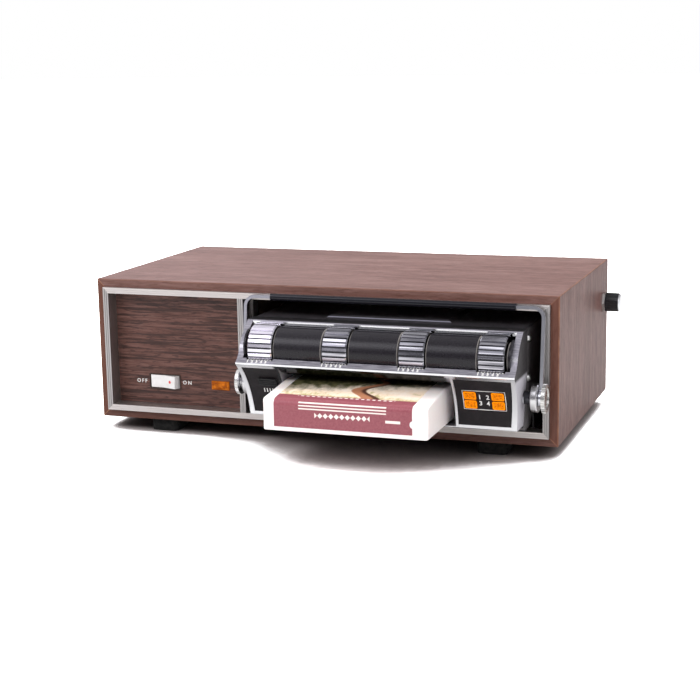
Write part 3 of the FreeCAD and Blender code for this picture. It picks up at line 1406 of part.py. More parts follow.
save("guide_channel", guide_channel())
save("mech_plate", mech_plate(), capstan_bearing())
save("flywheel", flywheel(), capstan())
save("drive_motor", drive_motor())
save("motor_pulley", motor_pulley())
save("drive_belt", drive_belt())
save("tape_head", tape_head())
save("head_carriage", head_carriage())
save("step_cam", step_cam())
save("solenoid", solenoid())
save("solenoid_plunger", solenoid_plunger())
save("detent_arm", detent_arm(), detent_roller())
save("circuit_board", circuit_board())
save("cartridge_base", cartridge_base())
save("cartridge_lid", cartridge_lid())
save("cartridge_label", cartridge_label())
save("tape_reel", tape_reel())
save("pinch_roller", pinch_roller())
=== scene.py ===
"""An eight-track tape player on a pale floor: walnut cabinet, plug-in deck, cartridge in its slot."""
import bpy
import bmesh
import math
import numpy as np
from mathutils import Matrix, Vector
from mathutils.bvhtree import BVHTree


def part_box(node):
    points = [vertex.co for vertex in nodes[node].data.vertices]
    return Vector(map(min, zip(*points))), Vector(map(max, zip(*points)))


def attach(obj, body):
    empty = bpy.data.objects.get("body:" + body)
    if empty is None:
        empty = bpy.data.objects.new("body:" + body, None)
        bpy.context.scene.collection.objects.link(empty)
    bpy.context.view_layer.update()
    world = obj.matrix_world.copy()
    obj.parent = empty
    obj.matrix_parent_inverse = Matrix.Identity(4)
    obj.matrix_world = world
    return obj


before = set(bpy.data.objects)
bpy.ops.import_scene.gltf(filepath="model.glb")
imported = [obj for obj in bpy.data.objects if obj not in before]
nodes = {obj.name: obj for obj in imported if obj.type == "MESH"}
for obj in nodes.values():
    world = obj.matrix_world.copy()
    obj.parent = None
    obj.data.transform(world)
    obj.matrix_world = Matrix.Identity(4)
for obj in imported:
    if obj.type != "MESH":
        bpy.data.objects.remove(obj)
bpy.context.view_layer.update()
mm = 0.001

# ------------------------------------------------------------------ camera
# A long lens a metre off, to the right of the player and above it, with a slight roll. Its place is
# measured from the cabinet's lower front left corner.
corner = Vector((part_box("cabinet_sides")[0][0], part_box("cabinet_sides")[0][1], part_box("cabinet_bottom")[0][2]))
camera_yaw, camera_pitch, camera_roll = (math.radians(a) for a in (19.34, 11.34, -0.96))
camera_place = corner + Vector((485.72, -888.73, 241.97)) * mm
film_width, focal_length = 36.0, 79.73


def put(name, data):
    """A new object in the scene that holds this mesh, text, lamp or camera."""
    made = bpy.data.objects.new(name, data)
    bpy.context.scene.collection.objects.link(made)
    return made


back = Vector((math.sin(camera_yaw) * math.cos(camera_pitch), -math.cos(camera_yaw) * math.cos(camera_pitch),
               math.sin(camera_pitch)))
level = Vector((math.cos(camera_yaw), math.sin(camera_yaw), 0.0))
upright = back.cross(level)
right = level * math.cos(camera_roll) + upright * math.sin(camera_roll)
up = upright * math.cos(camera_roll) - level * math.sin(camera_roll)
camera = put("camera", bpy.data.cameras.new("camera"))
camera.matrix_world = Matrix.Translation(camera_place) @ Matrix((right, up, back)).transposed().to_4x4()
camera.data.sensor_width = film_width
camera.data.lens = focal_length
bpy.context.scene.camera = camera
bpy.context.scene.view_settings.view_transform = "Standard"


# ------------------------------------------------------------------ floor, world and lamps
# A white paper floor in soft light from above, with shade painted on it by ambient occlusion in the nook
# under the cabinet. The sky is white to the eye; to metal it is a grey room with a bright band in front
# and more light from the left.
def node(tree, kind, **fields):
    """A shader node. A field is an input, by its label with _ for a space, or else a property of the
    node; a socket given as its value is linked to it."""
    made = tree.nodes.new("ShaderNode" + kind)
    for key, value in fields.items():
        label = key.replace("_", " ")
        if label not in made.inputs:
            setattr(made, key, value)
        elif isinstance(value, bpy.types.NodeSocket):
            tree.links.new(value, made.inputs[label])
        else:
            made.inputs[label].default_value = value
    return made


def maths(tree, operation, a, b=0.0, c=0.0):
    """One arithmetic step; a, b and c are numbers or sockets."""
    made = tree.nodes.new("ShaderNodeMath")
    made.operation = operation
    for socket, value in zip(made.inputs, (a, b, c)):
        if isinstance(value, bpy.types.NodeSocket):
            tree.links.new(value, socket)
        else:
            socket.default_value = value
    return made.outputs[0]


def ramp(tree, fac, *stops):
    """Colours along a value: each stop is (place, (r, g, b)), and between two stops the colour goes
    straight from one to the other."""
    made = node(tree, "ValToRGB", Fac=fac)
    elements = made.color_ramp.elements
    while len(elements) < len(stops):
        elements.new(0.5)
    for element, (place, colour) in zip(elements, stops):
        element.position = place
        element.color = (*colour, 1.0)
    return made.outputs[0]


def blend(tree, fac, first, second, kind="MIX"):
    """The first colour where fac is 0, the second where it is 1; each is three numbers or a socket. Of the
    kind MULTIPLY, it is the first where fac is 0, and the first times the second where it is 1."""
    ends = [c if isinstance(c, bpy.types.NodeSocket) else (*c, 1.0) for c in (first, second)]
    return node(tree, "MixRGB", blend_type=kind, Fac=fac, Color1=ends[0], Color2=ends[1]).outputs[0]


world = bpy.data.worlds.new("studio")
bpy.context.scene.world = world
world.use_nodes = True
sky = world.node_tree
sky.nodes.clear()
ray = node(sky, "LightPath")
heading = node(sky, "SeparateXYZ", Vector=node(sky, "TexCoord").outputs["Generated"])
to_back = maths(sky, "MULTIPLY_ADD", heading.outputs["Y"], 0.5, 0.5)
to_right = maths(sky, "MULTIPLY_ADD", heading.outputs["X"], 0.5, 0.5)
bright_band = (2.9, 2.9, 3.0)
room = ramp(sky, to_back, (0.0, (0.36, 0.36, 0.38)), (0.07, (0.42, 0.42, 0.44)), (0.13, bright_band),
            (0.24, bright_band), (0.31, (0.70, 0.70, 0.72)), (0.62, (0.90, 0.90, 0.92)),
            (0.74, (0.60, 0.60, 0.61)), (0.90, (0.55, 0.55, 0.56)), (1.0, (1.0, 1.0, 1.0)))
left_glow = ramp(sky, to_right, (0.30, (1.50, 1.46, 1.52)), (0.32, (1.25, 1.23, 1.26)),
                 (0.336, (0.85, 0.85, 0.86)), (0.41, (0.68, 0.68, 0.69)))
metal_sky = blend(sky, 1.0, room, left_glow, "MULTIPLY")
soft_sky = ramp(sky, heading.outputs["Z"], (0.0, (0.13, 0.13, 0.14)), (0.5, (0.56, 0.56, 0.57)),
                (1.0, (0.98, 0.98, 0.99)))
ambient = blend(sky, ray.outputs["Is Glossy Ray"], soft_sky, metal_sky)
clear = maths(sky, "MAXIMUM", ray.outputs["Is Camera Ray"], ray.outputs["Is Transmission Ray"])
air = node(sky, "Background", Color=blend(sky, clear, ambient, (1.0, 1.0, 1.0)), Strength=1.0)
sky.links.new(air.outputs[0], node(sky, "OutputWorld").inputs["Surface"])


def sheet(name, points):
    """A mesh object from an array of points on a grid: points[i, j] is the surface i steps one way and j
    steps the other, and each face joins four neighbours."""
    index = np.arange(points.shape[0] * points.shape[1]).reshape(points.shape[:2])
    faces = np.stack([index[:-1, :-1], index[1:, :-1], index[1:, 1:], index[:-1, 1:]], axis=-1).reshape(-1, 4)
    mesh = bpy.data.meshes.new(name)
    mesh.from_pydata(points.reshape(-1, 3).tolist(), [], faces.tolist())
    return put(name, mesh)


def finish(name, roughness, metallic=0.0, coat=0.0, coat_roughness=0.1, specular=0.5, colour=(0.5, 0.5, 0.5)):
    """A new material with one Principled shader: its node tree, its shader, its object coordinates."""
    material = bpy.data.materials.new(name)
    material.use_nodes = True
    tree = material.node_tree
    shader = tree.nodes["Principled BSDF"]
    shader.inputs["Base Color"].default_value = (*colour, 1.0)
    shader.inputs["Roughness"].default_value = roughness
    shader.inputs["Metallic"].default_value = metallic
    shader.inputs["Coat Weight"].default_value = coat
    shader.inputs["Coat Roughness"].default_value = coat_roughness
    shader.inputs["Specular IOR Level"].default_value = specular
    return material, tree, shader, node(tree, "TexCoord").outputs["Object"]


floor_half, painted_shade_reach = 9.0, 0.05
white_to_eye, white_to_metal = (2.1, 2.1, 2.1), (0.76, 0.76, 0.76)
side = np.linspace(-floor_half, floor_half, 2)
floor = sheet("floor", np.stack(np.meshgrid(side, side, [0.0], indexing="ij"), axis=-1)[:, :, 0])
paper, tree, shader, place = finish("floor_paper", 0.9, specular=0.0, colour=(0.84, 0.84, 0.85))
ray = node(tree, "LightPath")
seen = maths(tree, "MAXIMUM", ray.outputs["Is Camera Ray"],
             maths(tree, "MAXIMUM", ray.outputs["Is Glossy Ray"], ray.outputs["Is Transmission Ray"]))
brightness = blend(tree, ray.outputs["Is Camera Ray"], white_to_metal, white_to_eye)
# Painted shade: the floor's colour darkens where ambient occlusion finds the cabinet close by.
painted_nook_shade = ramp(tree, node(tree, "AmbientOcclusion", Distance=painted_shade_reach).outputs["AO"],
            (0.10, (0.07, 0.06, 0.06)), (0.38, (0.26, 0.235, 0.235)), (0.52, (1.0, 1.0, 1.0)))
white = node(tree, "BsdfDiffuse", Color=blend(tree, 1.0, brightness, painted_nook_shade, "MULTIPLY"))
both = node(tree, "MixShader", Fac=seen)
tree.links.new(shader.outputs[0], both.inputs[1])
tree.links.new(white.outputs[0], both.inputs[2])
tree.links.new(both.outputs[0], tree.nodes["Material Output"].inputs["Surface"])
floor.data.materials.append(paper)


def softbox(name, place, aim, width, height, power):
    """A rectangular lamp that faces a point. Its sizes are in metres and its power in watts."""
    lamp = bpy.data.lights.new(name, "AREA")
    lamp.shape = "RECTANGLE"
    lamp.size, lamp.size_y = width, height
    lamp.energy = power
    made = put(name, lamp)
    turn = (Vector(place) - Vector(aim)).to_track_quat("Z", "Y").to_matrix().to_4x4()
    made.matrix_world = Matrix.Translation(place) @ turn
    made.visible_glossy = False


softbox("top_light", (0.0, 0.55, 1.35), (0.0, 0.0, 0.0), width=1.1, height=0.6, power=19.0)
softbox("front_light", (-0.45, -1.3, 1.15), (0.0, 0.0, 0.05), width=0.9, height=0.6, power=16.8)
softbox("right_light", (1.3, -0.4, 0.9), (0.0, 0.0, 0.05), width=0.6, height=0.9, power=5.8)


def dress(material, *names):
    """Gives a material to every slot of these CAD nodes."""
    for name in names:
        for slot in nodes[name].material_slots:
            slot.material = material


def lengthwise(along, share):
    """The stretch for a grain along one axis: share along it, and 1 along the other two."""
    return tuple(share if axis == along else 1.0 for axis in "XYZ")


def streaks(tree, place, stretch, scale, detail=6.0, twist=0.0):
    """Noise drawn out along a grain. It is stretch times finer along each axis, and under 1 draws it out;
    scale is how many spots there are to a metre, detail how many finer layers lie in them, and twist how
    far they are pulled about."""
    mapped = node(tree, "Mapping", Vector=place, Scale=stretch)
    return node(tree, "TexNoise", Vector=mapped.outputs[0], Scale=scale, Detail=detail, Roughness=0.6,
                Distortion=twist).outputs["Fac"]


def speckle(tree, place, scale, detail=6.0, twist=0.0):
    """Even noise, as fine along each axis as along the others."""
    return streaks(tree, place, (1, 1, 1), scale, detail, twist)


def paint(tree, shader, colour):
    """Joins a colour to the shader's base colour."""
    tree.links.new(colour, shader.inputs["Base Color"])


def bump(tree, shader, height, depth):
    """Joins a height to the shader's normal; depth is that of the relief in metres."""
    relief = node(tree, "Bump", Height=height, Distance=depth)
    tree.links.new(relief.outputs[0], shader.inputs["Normal"])


def between(tree, value, start, end):
    """0 where the value is start, 1 where it is end, and straight from one to the other."""
    return node(tree, "MapRange", Value=value, From_Min=start, From_Max=end).outputs["Result"]


def off(tree, value, middle):
    """How far a value lies from a middle one, on either side of it."""
    return maths(tree, "ABSOLUTE", maths(tree, "SUBTRACT", value, middle))


def walnut(name, along, tones, pores, specular, depth, bands=0.4, drawn=0.08, count=620.0):
    """Walnut film. Its tone is bands times broad noise plus (1 - bands) times fine streaks, with short
    dark pores over it, all along one axis. drawn is how short the streaks are, count how many there are
    to a metre, pores how dark the pores are, and depth the relief in metres."""
    band_count, pore_count, pore_drawn = 70.0, 1100.0, 0.14
    material, tree, shader, place = finish(name, 0.45, specular=specular)
    band = streaks(tree, place, lengthwise(along, drawn), band_count, 4.0, 1.2)
    fine = streaks(tree, place, lengthwise(along, drawn), count, 7.0, 0.4)
    tone = maths(tree, "ADD", maths(tree, "MULTIPLY", band, bands), maths(tree, "MULTIPLY", fine, 1.0 - bands))
    colour = ramp(tree, tone, (0.38, tones[0]), (0.50, tones[1]), (0.60, tones[2]))
    pits = between(tree, streaks(tree, place, lengthwise(along, pore_drawn), pore_count, 2.0), 0.54, 0.64)
    pitted = blend(tree, maths(tree, "MULTIPLY", pits, pores), colour, tuple(c * 0.5 for c in tones[0]))
    bump(tree, shader, maths(tree, "SUBTRACT", fine, pits), depth)
    return material, tree, shader, place, pitted


low, high = (Vector(v) for v in (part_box("cabinet_sides")[0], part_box("cabinet_sides")[1]))
bottom_z, top_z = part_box("cabinet_bottom")[0][2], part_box("cabinet_top")[1][2]
centre = ((low.x + high.x) / 2, (low.y + high.y) / 2, (bottom_z + top_z) / 2)
half_size = ((high.x - low.x) / 2, (high.y - low.y) / 2, (top_z - bottom_z) / 2)


def to_faces(tree, place):
    """How far a point lies inside the cabinet's pair of faces across x, y and z, as three sockets: half
    the cabinet's size, less the distance from its middle."""
    parts = node(tree, "SeparateXYZ", Vector=place)
    return [maths(tree, "SUBTRACT", half, off(tree, parts.outputs[label], middle))
            for label, middle, half in zip("XYZ", centre, half_size)]


def rubbed(tree, place, width):
    """A mask that is 1 on the cabinet's arrises and mitres: two of the three distances to its faces are
    under width on an arris, and the ones across x and z are equal on a mitre. An arris along x is rubbed
    a quarter as much as an upright one, and one along y a little under half."""
    x, y, z = to_faces(tree, place)
    upright = between(tree, maths(tree, "MAXIMUM", x, y), width, 0.0)
    along = maths(tree, "MULTIPLY", between(tree, maths(tree, "MAXIMUM", y, z), width, 0.0), 0.25)
    across = maths(tree, "MULTIPLY", between(tree, maths(tree, "MAXIMUM", x, z), width, 0.0), 0.45)
    mitre = between(tree, off(tree, x, z), width * 0.5, 0.0)
    return maths(tree, "MAXIMUM", maths(tree, "MAXIMUM", upright, along), maths(tree, "MAXIMUM", across, mitre))


film = np.array([(0.100, 0.041, 0.032), (0.160, 0.077, 0.065), (0.220, 0.122, 0.107)])
painted_edge_shade, rubbed_film = (0.120, 0.046, 0.030), (0.38, 0.18, 0.10)
fold_width, edge_depth = 0.9 * mm, 1.2 * mm
# Painted shade: the bottom's film is painted at 0.62 of the top's tone and the sides' at 0.84, as if lit less.
for name, along, tone, gloss, front_shade_share, member in (("walnut_top", "X", 1.0, 0.42, 0.45, "cabinet_top"),
                                               ("walnut_bottom_shaded", "X", 0.62, 0.20, 0.45, "cabinet_bottom"),
                                               ("walnut_upright_shaded", "Z", 0.84, 0.16, 0.75, "cabinet_sides")):
    material, tree, shader, place, colour = walnut(name, along, (film * tone).tolist(), pores=0.5, specular=gloss,
                                                   depth=0.05 * mm)
    patches = between(tree, speckle(tree, place, 120.0, 3.0), 0.40, 0.62)
    wear = maths(tree, "MULTIPLY", rubbed(tree, place, fold_width), maths(tree, "MULTIPLY_ADD", patches, 0.6, 0.25))
    # Painted shade: the film is painted darker and redder on the front and back faces and within edge_depth of them.
    shade = between(tree, to_faces(tree, place)[1], edge_depth, 0.0)
    facing = blend(tree, maths(tree, "MULTIPLY", shade, front_shade_share), colour, painted_edge_shade)
    paint(tree, shader, blend(tree, wear, facing, rubbed_film))
    dress(material, member)

# ------------------------------------------------------------------ edge trim
# Extruded aluminium with a fine draw grain along each length, anodised a warm silver, mitred and
# pressed into the opening's edge; the upright between the bays is the same stock.
# Painted shade: the upright trims and the divider get the darker shaded_silver, the ones across warm_silver.
warm_silver, shaded_silver = (0.62, 0.58, 0.555), (0.43, 0.41, 0.40)


def drawn_metal(name, along, colour, roughness):
    """Metal with straight draw lines along one axis, a seventh darker in their depth. Its roughness is the
    given one, moved up or down by up to 0.09 by broad noise."""
    material, tree, shader, place = finish(name, roughness, metallic=1.0)
    lines = streaks(tree, place, lengthwise(along, 0.02), 2600.0, 3.0)
    paint(tree, shader, ramp(tree, lines, (0.3, tuple(c * 0.86 for c in colour)), (0.7, colour)))
    smudge = speckle(tree, place, 35.0, 3.0)
    tree.links.new(maths(tree, "MULTIPLY_ADD", smudge, 0.18, roughness - 0.09), shader.inputs["Roughness"])
    bump(tree, shader, lines, 0.02 * mm)
    return material


dress(drawn_metal("trim_across", "X", warm_silver, 0.48), "long_trims")
dress(drawn_metal("trim_upright", "Z", shaded_silver, 0.48), "short_trims", "trim_divider")

# ------------------------------------------------------------------ control panel and its lettering
# A thin walnut veneer panel with a bold figure across it, set back behind the trim. OFF and ON are
# screened on it in off-white.
veneer = [(0.053, 0.020, 0.014), (0.107, 0.046, 0.036), (0.147, 0.070, 0.057)]
dark_figure = (0.020, 0.008, 0.006)
material, tree, shader, place, colour = walnut("panel_walnut", "X", veneer, pores=0.7, specular=0.3, depth=0.04 * mm,
                                               bands=0.2, drawn=0.05, count=800.0)
figure = between(tree, streaks(tree, place, (0.035, 0.3, 1.0), 430.0, 4.0, 1.3), 0.51, 0.43)
paint(tree, shader, blend(tree, maths(tree, "MULTIPLY", figure, 0.75), colour, dark_figure))
dress(material, "control_panel")

ink, tree, shader, place = finish("screened_ink", 0.55)
fleck = speckle(tree, place, 2500.0, 3.0)
paint(tree, shader, ramp(tree, fleck, (0.3, (0.62, 0.60, 0.58)), (0.6, (0.86, 0.85, 0.83))))
ink_proud, ink_sunk = 0.06 * mm, 0.02 * mm


def lettering(name, words, height, left, line, body, spacing=1.0, weight=0.0):
    """Raised print. A point of the words' outlines lies u from left along x and v up the face, where
    line(v) gives the face's y and z, and is lifted off it by a hair, square to that line. spacing is how
    far apart the letters stand, and weight how much their outlines are thickened."""
    text = bpy.data.curves.new(name, "FONT")
    text.body = words
    text.size = 1.0
    text.space_character = spacing
    text.offset = weight
    text.resolution_u = 3
    text.extrude = 0.5
    holder = put(name, text)
    bpy.context.view_layer.update()
    mesh = bpy.data.meshes.new_from_object(holder.evaluated_get(bpy.context.evaluated_depsgraph_get()))
    bpy.data.objects.remove(holder)
    points = np.zeros(len(mesh.vertices) * 3)
    mesh.vertices.foreach_get("co", points)
    points = points.reshape(-1, 3)
    points[:, :2] -= points[:, :2].min(axis=0)
    points[:, :2] *= height / points[:, 1].max()
    raised = np.where(points[:, 2] > 0, ink_proud, -ink_sunk)
    y, z = line(points[:, 1])
    y1, z1 = line(points[:, 1] + 0.02 * mm)
    step = np.hypot(y1 - y, z1 - z)
    points = np.stack([left + points[:, 0], y - raised * (z1 - z) / step, z + raised * (y1 - y) / step], axis=1)
    mesh.vertices.foreach_set("co", points.ravel())
    mesh.materials.append(ink)
    made = put(name, mesh)
    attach(made, body)


def on_panel(foot):
    """The control panel's face, for print that stands at this height above the cabinet's foot."""
    return lambda v: (np.full_like(v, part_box("control_panel")[0][1]), corner.z + foot + v)


word_height = 2.5 * mm
lettering("off_word", "OFF", word_height, corner.x + 22.0 * mm, on_panel(22.5 * mm), "cabinet",
          spacing=1.4, weight=0.012)
lettering("on_word", "ON", word_height, corner.x + 55.1 * mm, on_panel(22.7 * mm), "cabinet",
          spacing=1.5, weight=0.012)

# ------------------------------------------------------------------ rocker switch
# A glossy off-white moulded rocker with a red dot near its ON end, in a brown moulded body. The black
# moulding here is also the rear connector's and the push button's.
rocker_low, rocker_high = (Vector(v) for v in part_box("rocker_button"))
dot_x = rocker_low.x + 0.70 * (rocker_high.x - rocker_low.x)
dot_z = (rocker_low.z + rocker_high.z) / 2
dot_radius, dot_red = 0.9 * mm, (0.62, 0.02, 0.02)


def length(tree, a, b):
    """How long an offset with these two parts is: the root of the sum of their squares."""
    return maths(tree, "SQRT", maths(tree, "ADD", maths(tree, "MULTIPLY", a, a), maths(tree, "MULTIPLY", b, b)))


material, tree, shader, place = finish("rocker_white", 0.22, coat=0.4, coat_roughness=0.08)
parts = node(tree, "SeparateXYZ", Vector=place)
from_dot = length(tree, maths(tree, "SUBTRACT", parts.outputs["X"], dot_x),
                  maths(tree, "SUBTRACT", parts.outputs["Z"], dot_z))
plastic = ramp(tree, speckle(tree, place, 300.0), (0.3, (0.69, 0.66, 0.65)), (0.7, (0.78, 0.76, 0.76)))
paint(tree, shader, blend(tree, between(tree, from_dot, dot_radius + 0.2 * mm, dot_radius), plastic, dot_red))
dress(material, "rocker_button")


def moulded(name, colour, roughness, scale=1800.0, depth=0.03 * mm):
    """Moulded plastic: a spark grain in the relief, scale of it to a metre and depth deep, and a faint
    mottle in the colour."""
    material, tree, shader, place = finish(name, roughness, specular=0.3)
    grain = speckle(tree, place, scale, 4.0)
    mottle = speckle(tree, place, 40.0, 3.0)
    paint(tree, shader, ramp(tree, mottle, (0.3, tuple(c * 0.82 for c in colour)), (0.7, colour)))
    bump(tree, shader, grain, depth)
    return material


black_moulding = moulded("black_moulding", (0.014, 0.014, 0.015), 0.42)
dress(black_moulding, "dock_socket", "program_button")
dress(moulded("brown_moulding", (0.050, 0.026, 0.020), 0.5), "rocker_switch")

# ------------------------------------------------------------------ pilot lamp and channel lenses
# Clear amber plastic over small bulbs, with a pressed back that breaks the light into light and deep
# squares. A darker ring painted round the pilot lamp stands for the shade in a groove; the four lenses
# have rounded corners and a darker middle.


def amber(name, deep, light, cell, cloud, glow):
    """Amber plastic under a satin skin. Its tone is a quarter of the distance from the middle of a
    pressed square plus most of a cloudy noise, from light to deep; cell and cloud are how many squares
    and clouds there are to a metre, and glow is how much of its colour it gives off."""
    material, tree, shader, place = finish(name, 0.28, specular=0.07)
    cells = node(tree, "TexVoronoi", Vector=place, Scale=cell, feature="F1", distance="CHEBYCHEV")
    haze = maths(tree, "MULTIPLY", speckle(tree, place, cloud, 3.0, 0.5), 0.9)
    tone = maths(tree, "ADD", maths(tree, "MULTIPLY", cells.outputs["Distance"], 0.25), haze)
    colour = ramp(tree, tone, (0.42, light), (0.54, tuple((a + b) / 2 for a, b in zip(deep, light))), (0.66, deep))
    shader.inputs["Emission Strength"].default_value = glow
    bump(tree, shader, cells.outputs["Distance"], 0.2 * mm)
    return material, tree, shader, node(tree, "SeparateXYZ", Vector=place), colour


def from_ends(tree, value, start, end):
    """How far a value lies inside a start and an end: the lesser of its distances from them."""
    return maths(tree, "MINIMUM", maths(tree, "SUBTRACT", value, start), maths(tree, "SUBTRACT", end, value))


def near(tree, value, middle, edge, core):
    """1 where a value lies less than core from a middle one, 0 where it lies past edge."""
    return between(tree, off(tree, value, middle), edge, core)


def light_up(tree, shader, colour):
    """Gives the shader one colour for its surface and for the light that comes through it."""
    paint(tree, shader, colour)
    tree.links.new(colour, shader.inputs["Emission Color"])


lamp_low, lamp_high = (Vector(v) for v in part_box("pilot_lamp"))
groove_in, groove_shade_amber = 1.3 * mm, (0.13, 0.030, 0.004)
material, tree, shader, parts, colour = amber("pilot_amber", (0.26, 0.058, 0.004), (0.56, 0.150, 0.010),
                                              cell=420.0, cloud=230.0, glow=0.08)
inset = maths(tree, "MINIMUM", from_ends(tree, parts.outputs["X"], lamp_low.x, lamp_high.x),
              from_ends(tree, parts.outputs["Z"], lamp_low.z, lamp_high.z))
# Painted shade: a darker amber ring, 1.3 mm inside the lamp's edge.
painted_groove_shade = near(tree, inset, groove_in, 0.35 * mm, 0.15 * mm)
light_up(tree, shader, blend(tree, maths(tree, "MULTIPLY", painted_groove_shade, 0.7), colour, groove_shade_amber))
dress(material, "pilot_lamp")

lens_low, lens_high = (Vector(v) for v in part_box("indicator_lenses"))
lens_mid = (lens_low + lens_high) / 2
lens_wide, lens_tall, lens_round = 8.0 * mm, (lens_high.z - lens_low.z) / 2, 1.3 * mm
lens_deep, lens_light = (0.17, 0.030, 0.000), (0.98, 0.27, 0.000)
middle_amber, edge_amber = (0.42, 0.090, 0.0), (0.05, 0.012, 0.002)
material, tree, shader, parts, colour = amber("channel_amber", lens_deep, lens_light, cell=900.0, cloud=1100.0,
                                              glow=0.35)
across = from_ends(tree, from_ends(tree, parts.outputs["X"], lens_low.x, lens_high.x), 0.0, lens_wide)
upward = from_ends(tree, off(tree, parts.outputs["Z"], lens_mid.z), 0.0, lens_tall)
past = [maths(tree, "MAXIMUM", maths(tree, "SUBTRACT", lens_round, side), 0.0) for side in (across, upward)]
inset = maths(tree, "MINIMUM", maths(tree, "MINIMUM", across, upward),
              maths(tree, "SUBTRACT", lens_round, length(tree, *past)))
hollow = blend(tree, between(tree, inset, 0.6 * mm, 1.7 * mm), lens_light, middle_amber)
pressed = maths(tree, "MULTIPLY_ADD", between(tree, inset, 0.5 * mm, 1.2 * mm), 0.40, 0.10)
rim = between(tree, inset, 0.32 * mm, 0.18 * mm)
light_up(tree, shader, blend(tree, rim, blend(tree, pressed, hollow, colour), edge_amber))
dress(material, "indicator_lenses")
dress(black_moulding, "lamp_block")

# ------------------------------------------------------------------ side knob, feet, screws and back
# A push-on knob of black moulding with a bright spun cap, rubber feet on zinc-plated screws, and a back
# of dark pressed hardboard with two phono sockets and a rubber gland.
cap_start, cap_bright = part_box("side_knob")[1][0] - 1.0 * mm, (0.72, 0.72, 0.73)
material, tree, shader, place = finish("side_knob_finish", 0.3)
cap = between(tree, node(tree, "SeparateXYZ", Vector=place).outputs["X"], cap_start, cap_start + 0.1 * mm)
black = ramp(tree, speckle(tree, place, 900.0), (0.3, (0.012, 0.012, 0.013)), (0.7, (0.022, 0.022, 0.024)))
paint(tree, shader, blend(tree, cap, black, cap_bright))
tree.links.new(cap, shader.inputs["Metallic"])
dress(material, "side_knob")

material, tree, shader, place = finish("foot_rubber", 0.75, specular=0.12)
dust = speckle(tree, place, 500.0, 5.0)
paint(tree, shader, ramp(tree, dust, (0.35, (0.006, 0.006, 0.006)), (0.75, (0.022, 0.021, 0.020))))
bump(tree, shader, dust, 0.05 * mm)
dress(material, "rubber_feet", "cord_gland", "drive_belt", "pinch_roller")


def plated(name, colour, roughness, scale=60.0, spread=0.12):
    """Plated metal: the colour is nearly even, and smears, scale of them to a metre, move its gloss by
    half of spread either way."""
    material, tree, shader, place = finish(name, roughness, metallic=1.0)
    smear = speckle(tree, place, scale, 6.0, 0.6)
    paint(tree, shader, ramp(tree, smear, (0.25, tuple(c * 0.9 for c in colour)), (0.75, colour)))
    tree.links.new(maths(tree, "MULTIPLY_ADD", smear, spread, roughness - spread / 2), shader.inputs["Roughness"])
    bump(tree, shader, speckle(tree, place, 1500.0, 4.0), 0.004 * mm)
    return material


zinc = plated("zinc_plate", (0.60, 0.60, 0.58), 0.34)
dress(zinc, "cabinet_screws", "side_control", "output_jacks", "deck_screws")

material, tree, shader, place = finish("hardboard", 0.7)
fibre = speckle(tree, place, 700.0, 8.0)
paint(tree, shader, ramp(tree, fibre, (0.3, (0.05, 0.032, 0.022)), (0.7, (0.10, 0.066, 0.045))))
bump(tree, shader, fibre, 0.1 * mm)
dress(material, "back_panel", "partition")

# ------------------------------------------------------------------ inside the cabinet
# A varnished transformer of steel leaves, the supply board, and the black steel tray that the deck
# slides on. The deck's solenoid and amplifier board have the same finishes, and its case is painted.
material, tree, shader, place = finish("varnished_core", 0.35, metallic=0.4)
leaf = streaks(tree, place, (0.02, 1.0, 0.02), 1500.0, 2.0)
paint(tree, shader, ramp(tree, leaf, (0.4, (0.05, 0.035, 0.028)), (0.6, (0.16, 0.13, 0.11))))
dress(material, "transformer", "solenoid")

material, tree, shader, place = finish("phenolic_board", 0.4, coat=0.3)
weave = speckle(tree, place, 600.0, 6.0)
paint(tree, shader, ramp(tree, weave, (0.3, (0.16, 0.09, 0.03)), (0.7, (0.26, 0.16, 0.06))))
dress(material, "power_board", "circuit_board")


def painted_steel(name, colour, roughness, specular=0.3):
    """Stoved paint on sheet steel: a slight orange-peel relief, and dust that lightens the colour to not
    quite twice itself. Gives back its place in parts and its colour too, for what is added."""
    material, tree, shader, place = finish(name, roughness, specular=specular)
    dust = speckle(tree, place, 90.0, 8.0)
    coat = ramp(tree, dust, (0.35, colour), (0.8, tuple(c * 1.9 for c in colour)))
    paint(tree, shader, coat)
    bump(tree, shader, speckle(tree, place, 700.0, 3.0), 0.03 * mm)
    return material, tree, shader, node(tree, "SeparateXYZ", Vector=place), coat


dress(painted_steel("tray_black", (0.020, 0.018, 0.019), 0.45)[0], "dock_tray")
# Painted light: the chassis is painted a lighter black than the tray and the cover, for light in the shaded bay.
dress(painted_steel("chassis_black_lit", (0.095, 0.088, 0.090), 0.42)[0], "deck_chassis")

# The cover is pressed from the same steel; a pale bluish painted highlight runs along the front of the raised panel.
ridge_y, ridge_z, painted_highlight = corner.y - 1.2 * mm, corner.z + 73.4 * mm, (0.42, 0.42, 0.52)
material, tree, shader, parts, coat = painted_steel("cover_black", (0.034, 0.031, 0.035), 0.40, 0.35)
highlight_line = near(tree, parts.outputs["Y"], ridge_y, 0.9 * mm, 0.5 * mm)
on_top = between(tree, parts.outputs["Z"], ridge_z, ridge_z + 0.5 * mm)
paint(tree, shader, blend(tree, maths(tree, "MULTIPLY", highlight_line, on_top), coat, painted_highlight))
dress(material, "deck_cover")

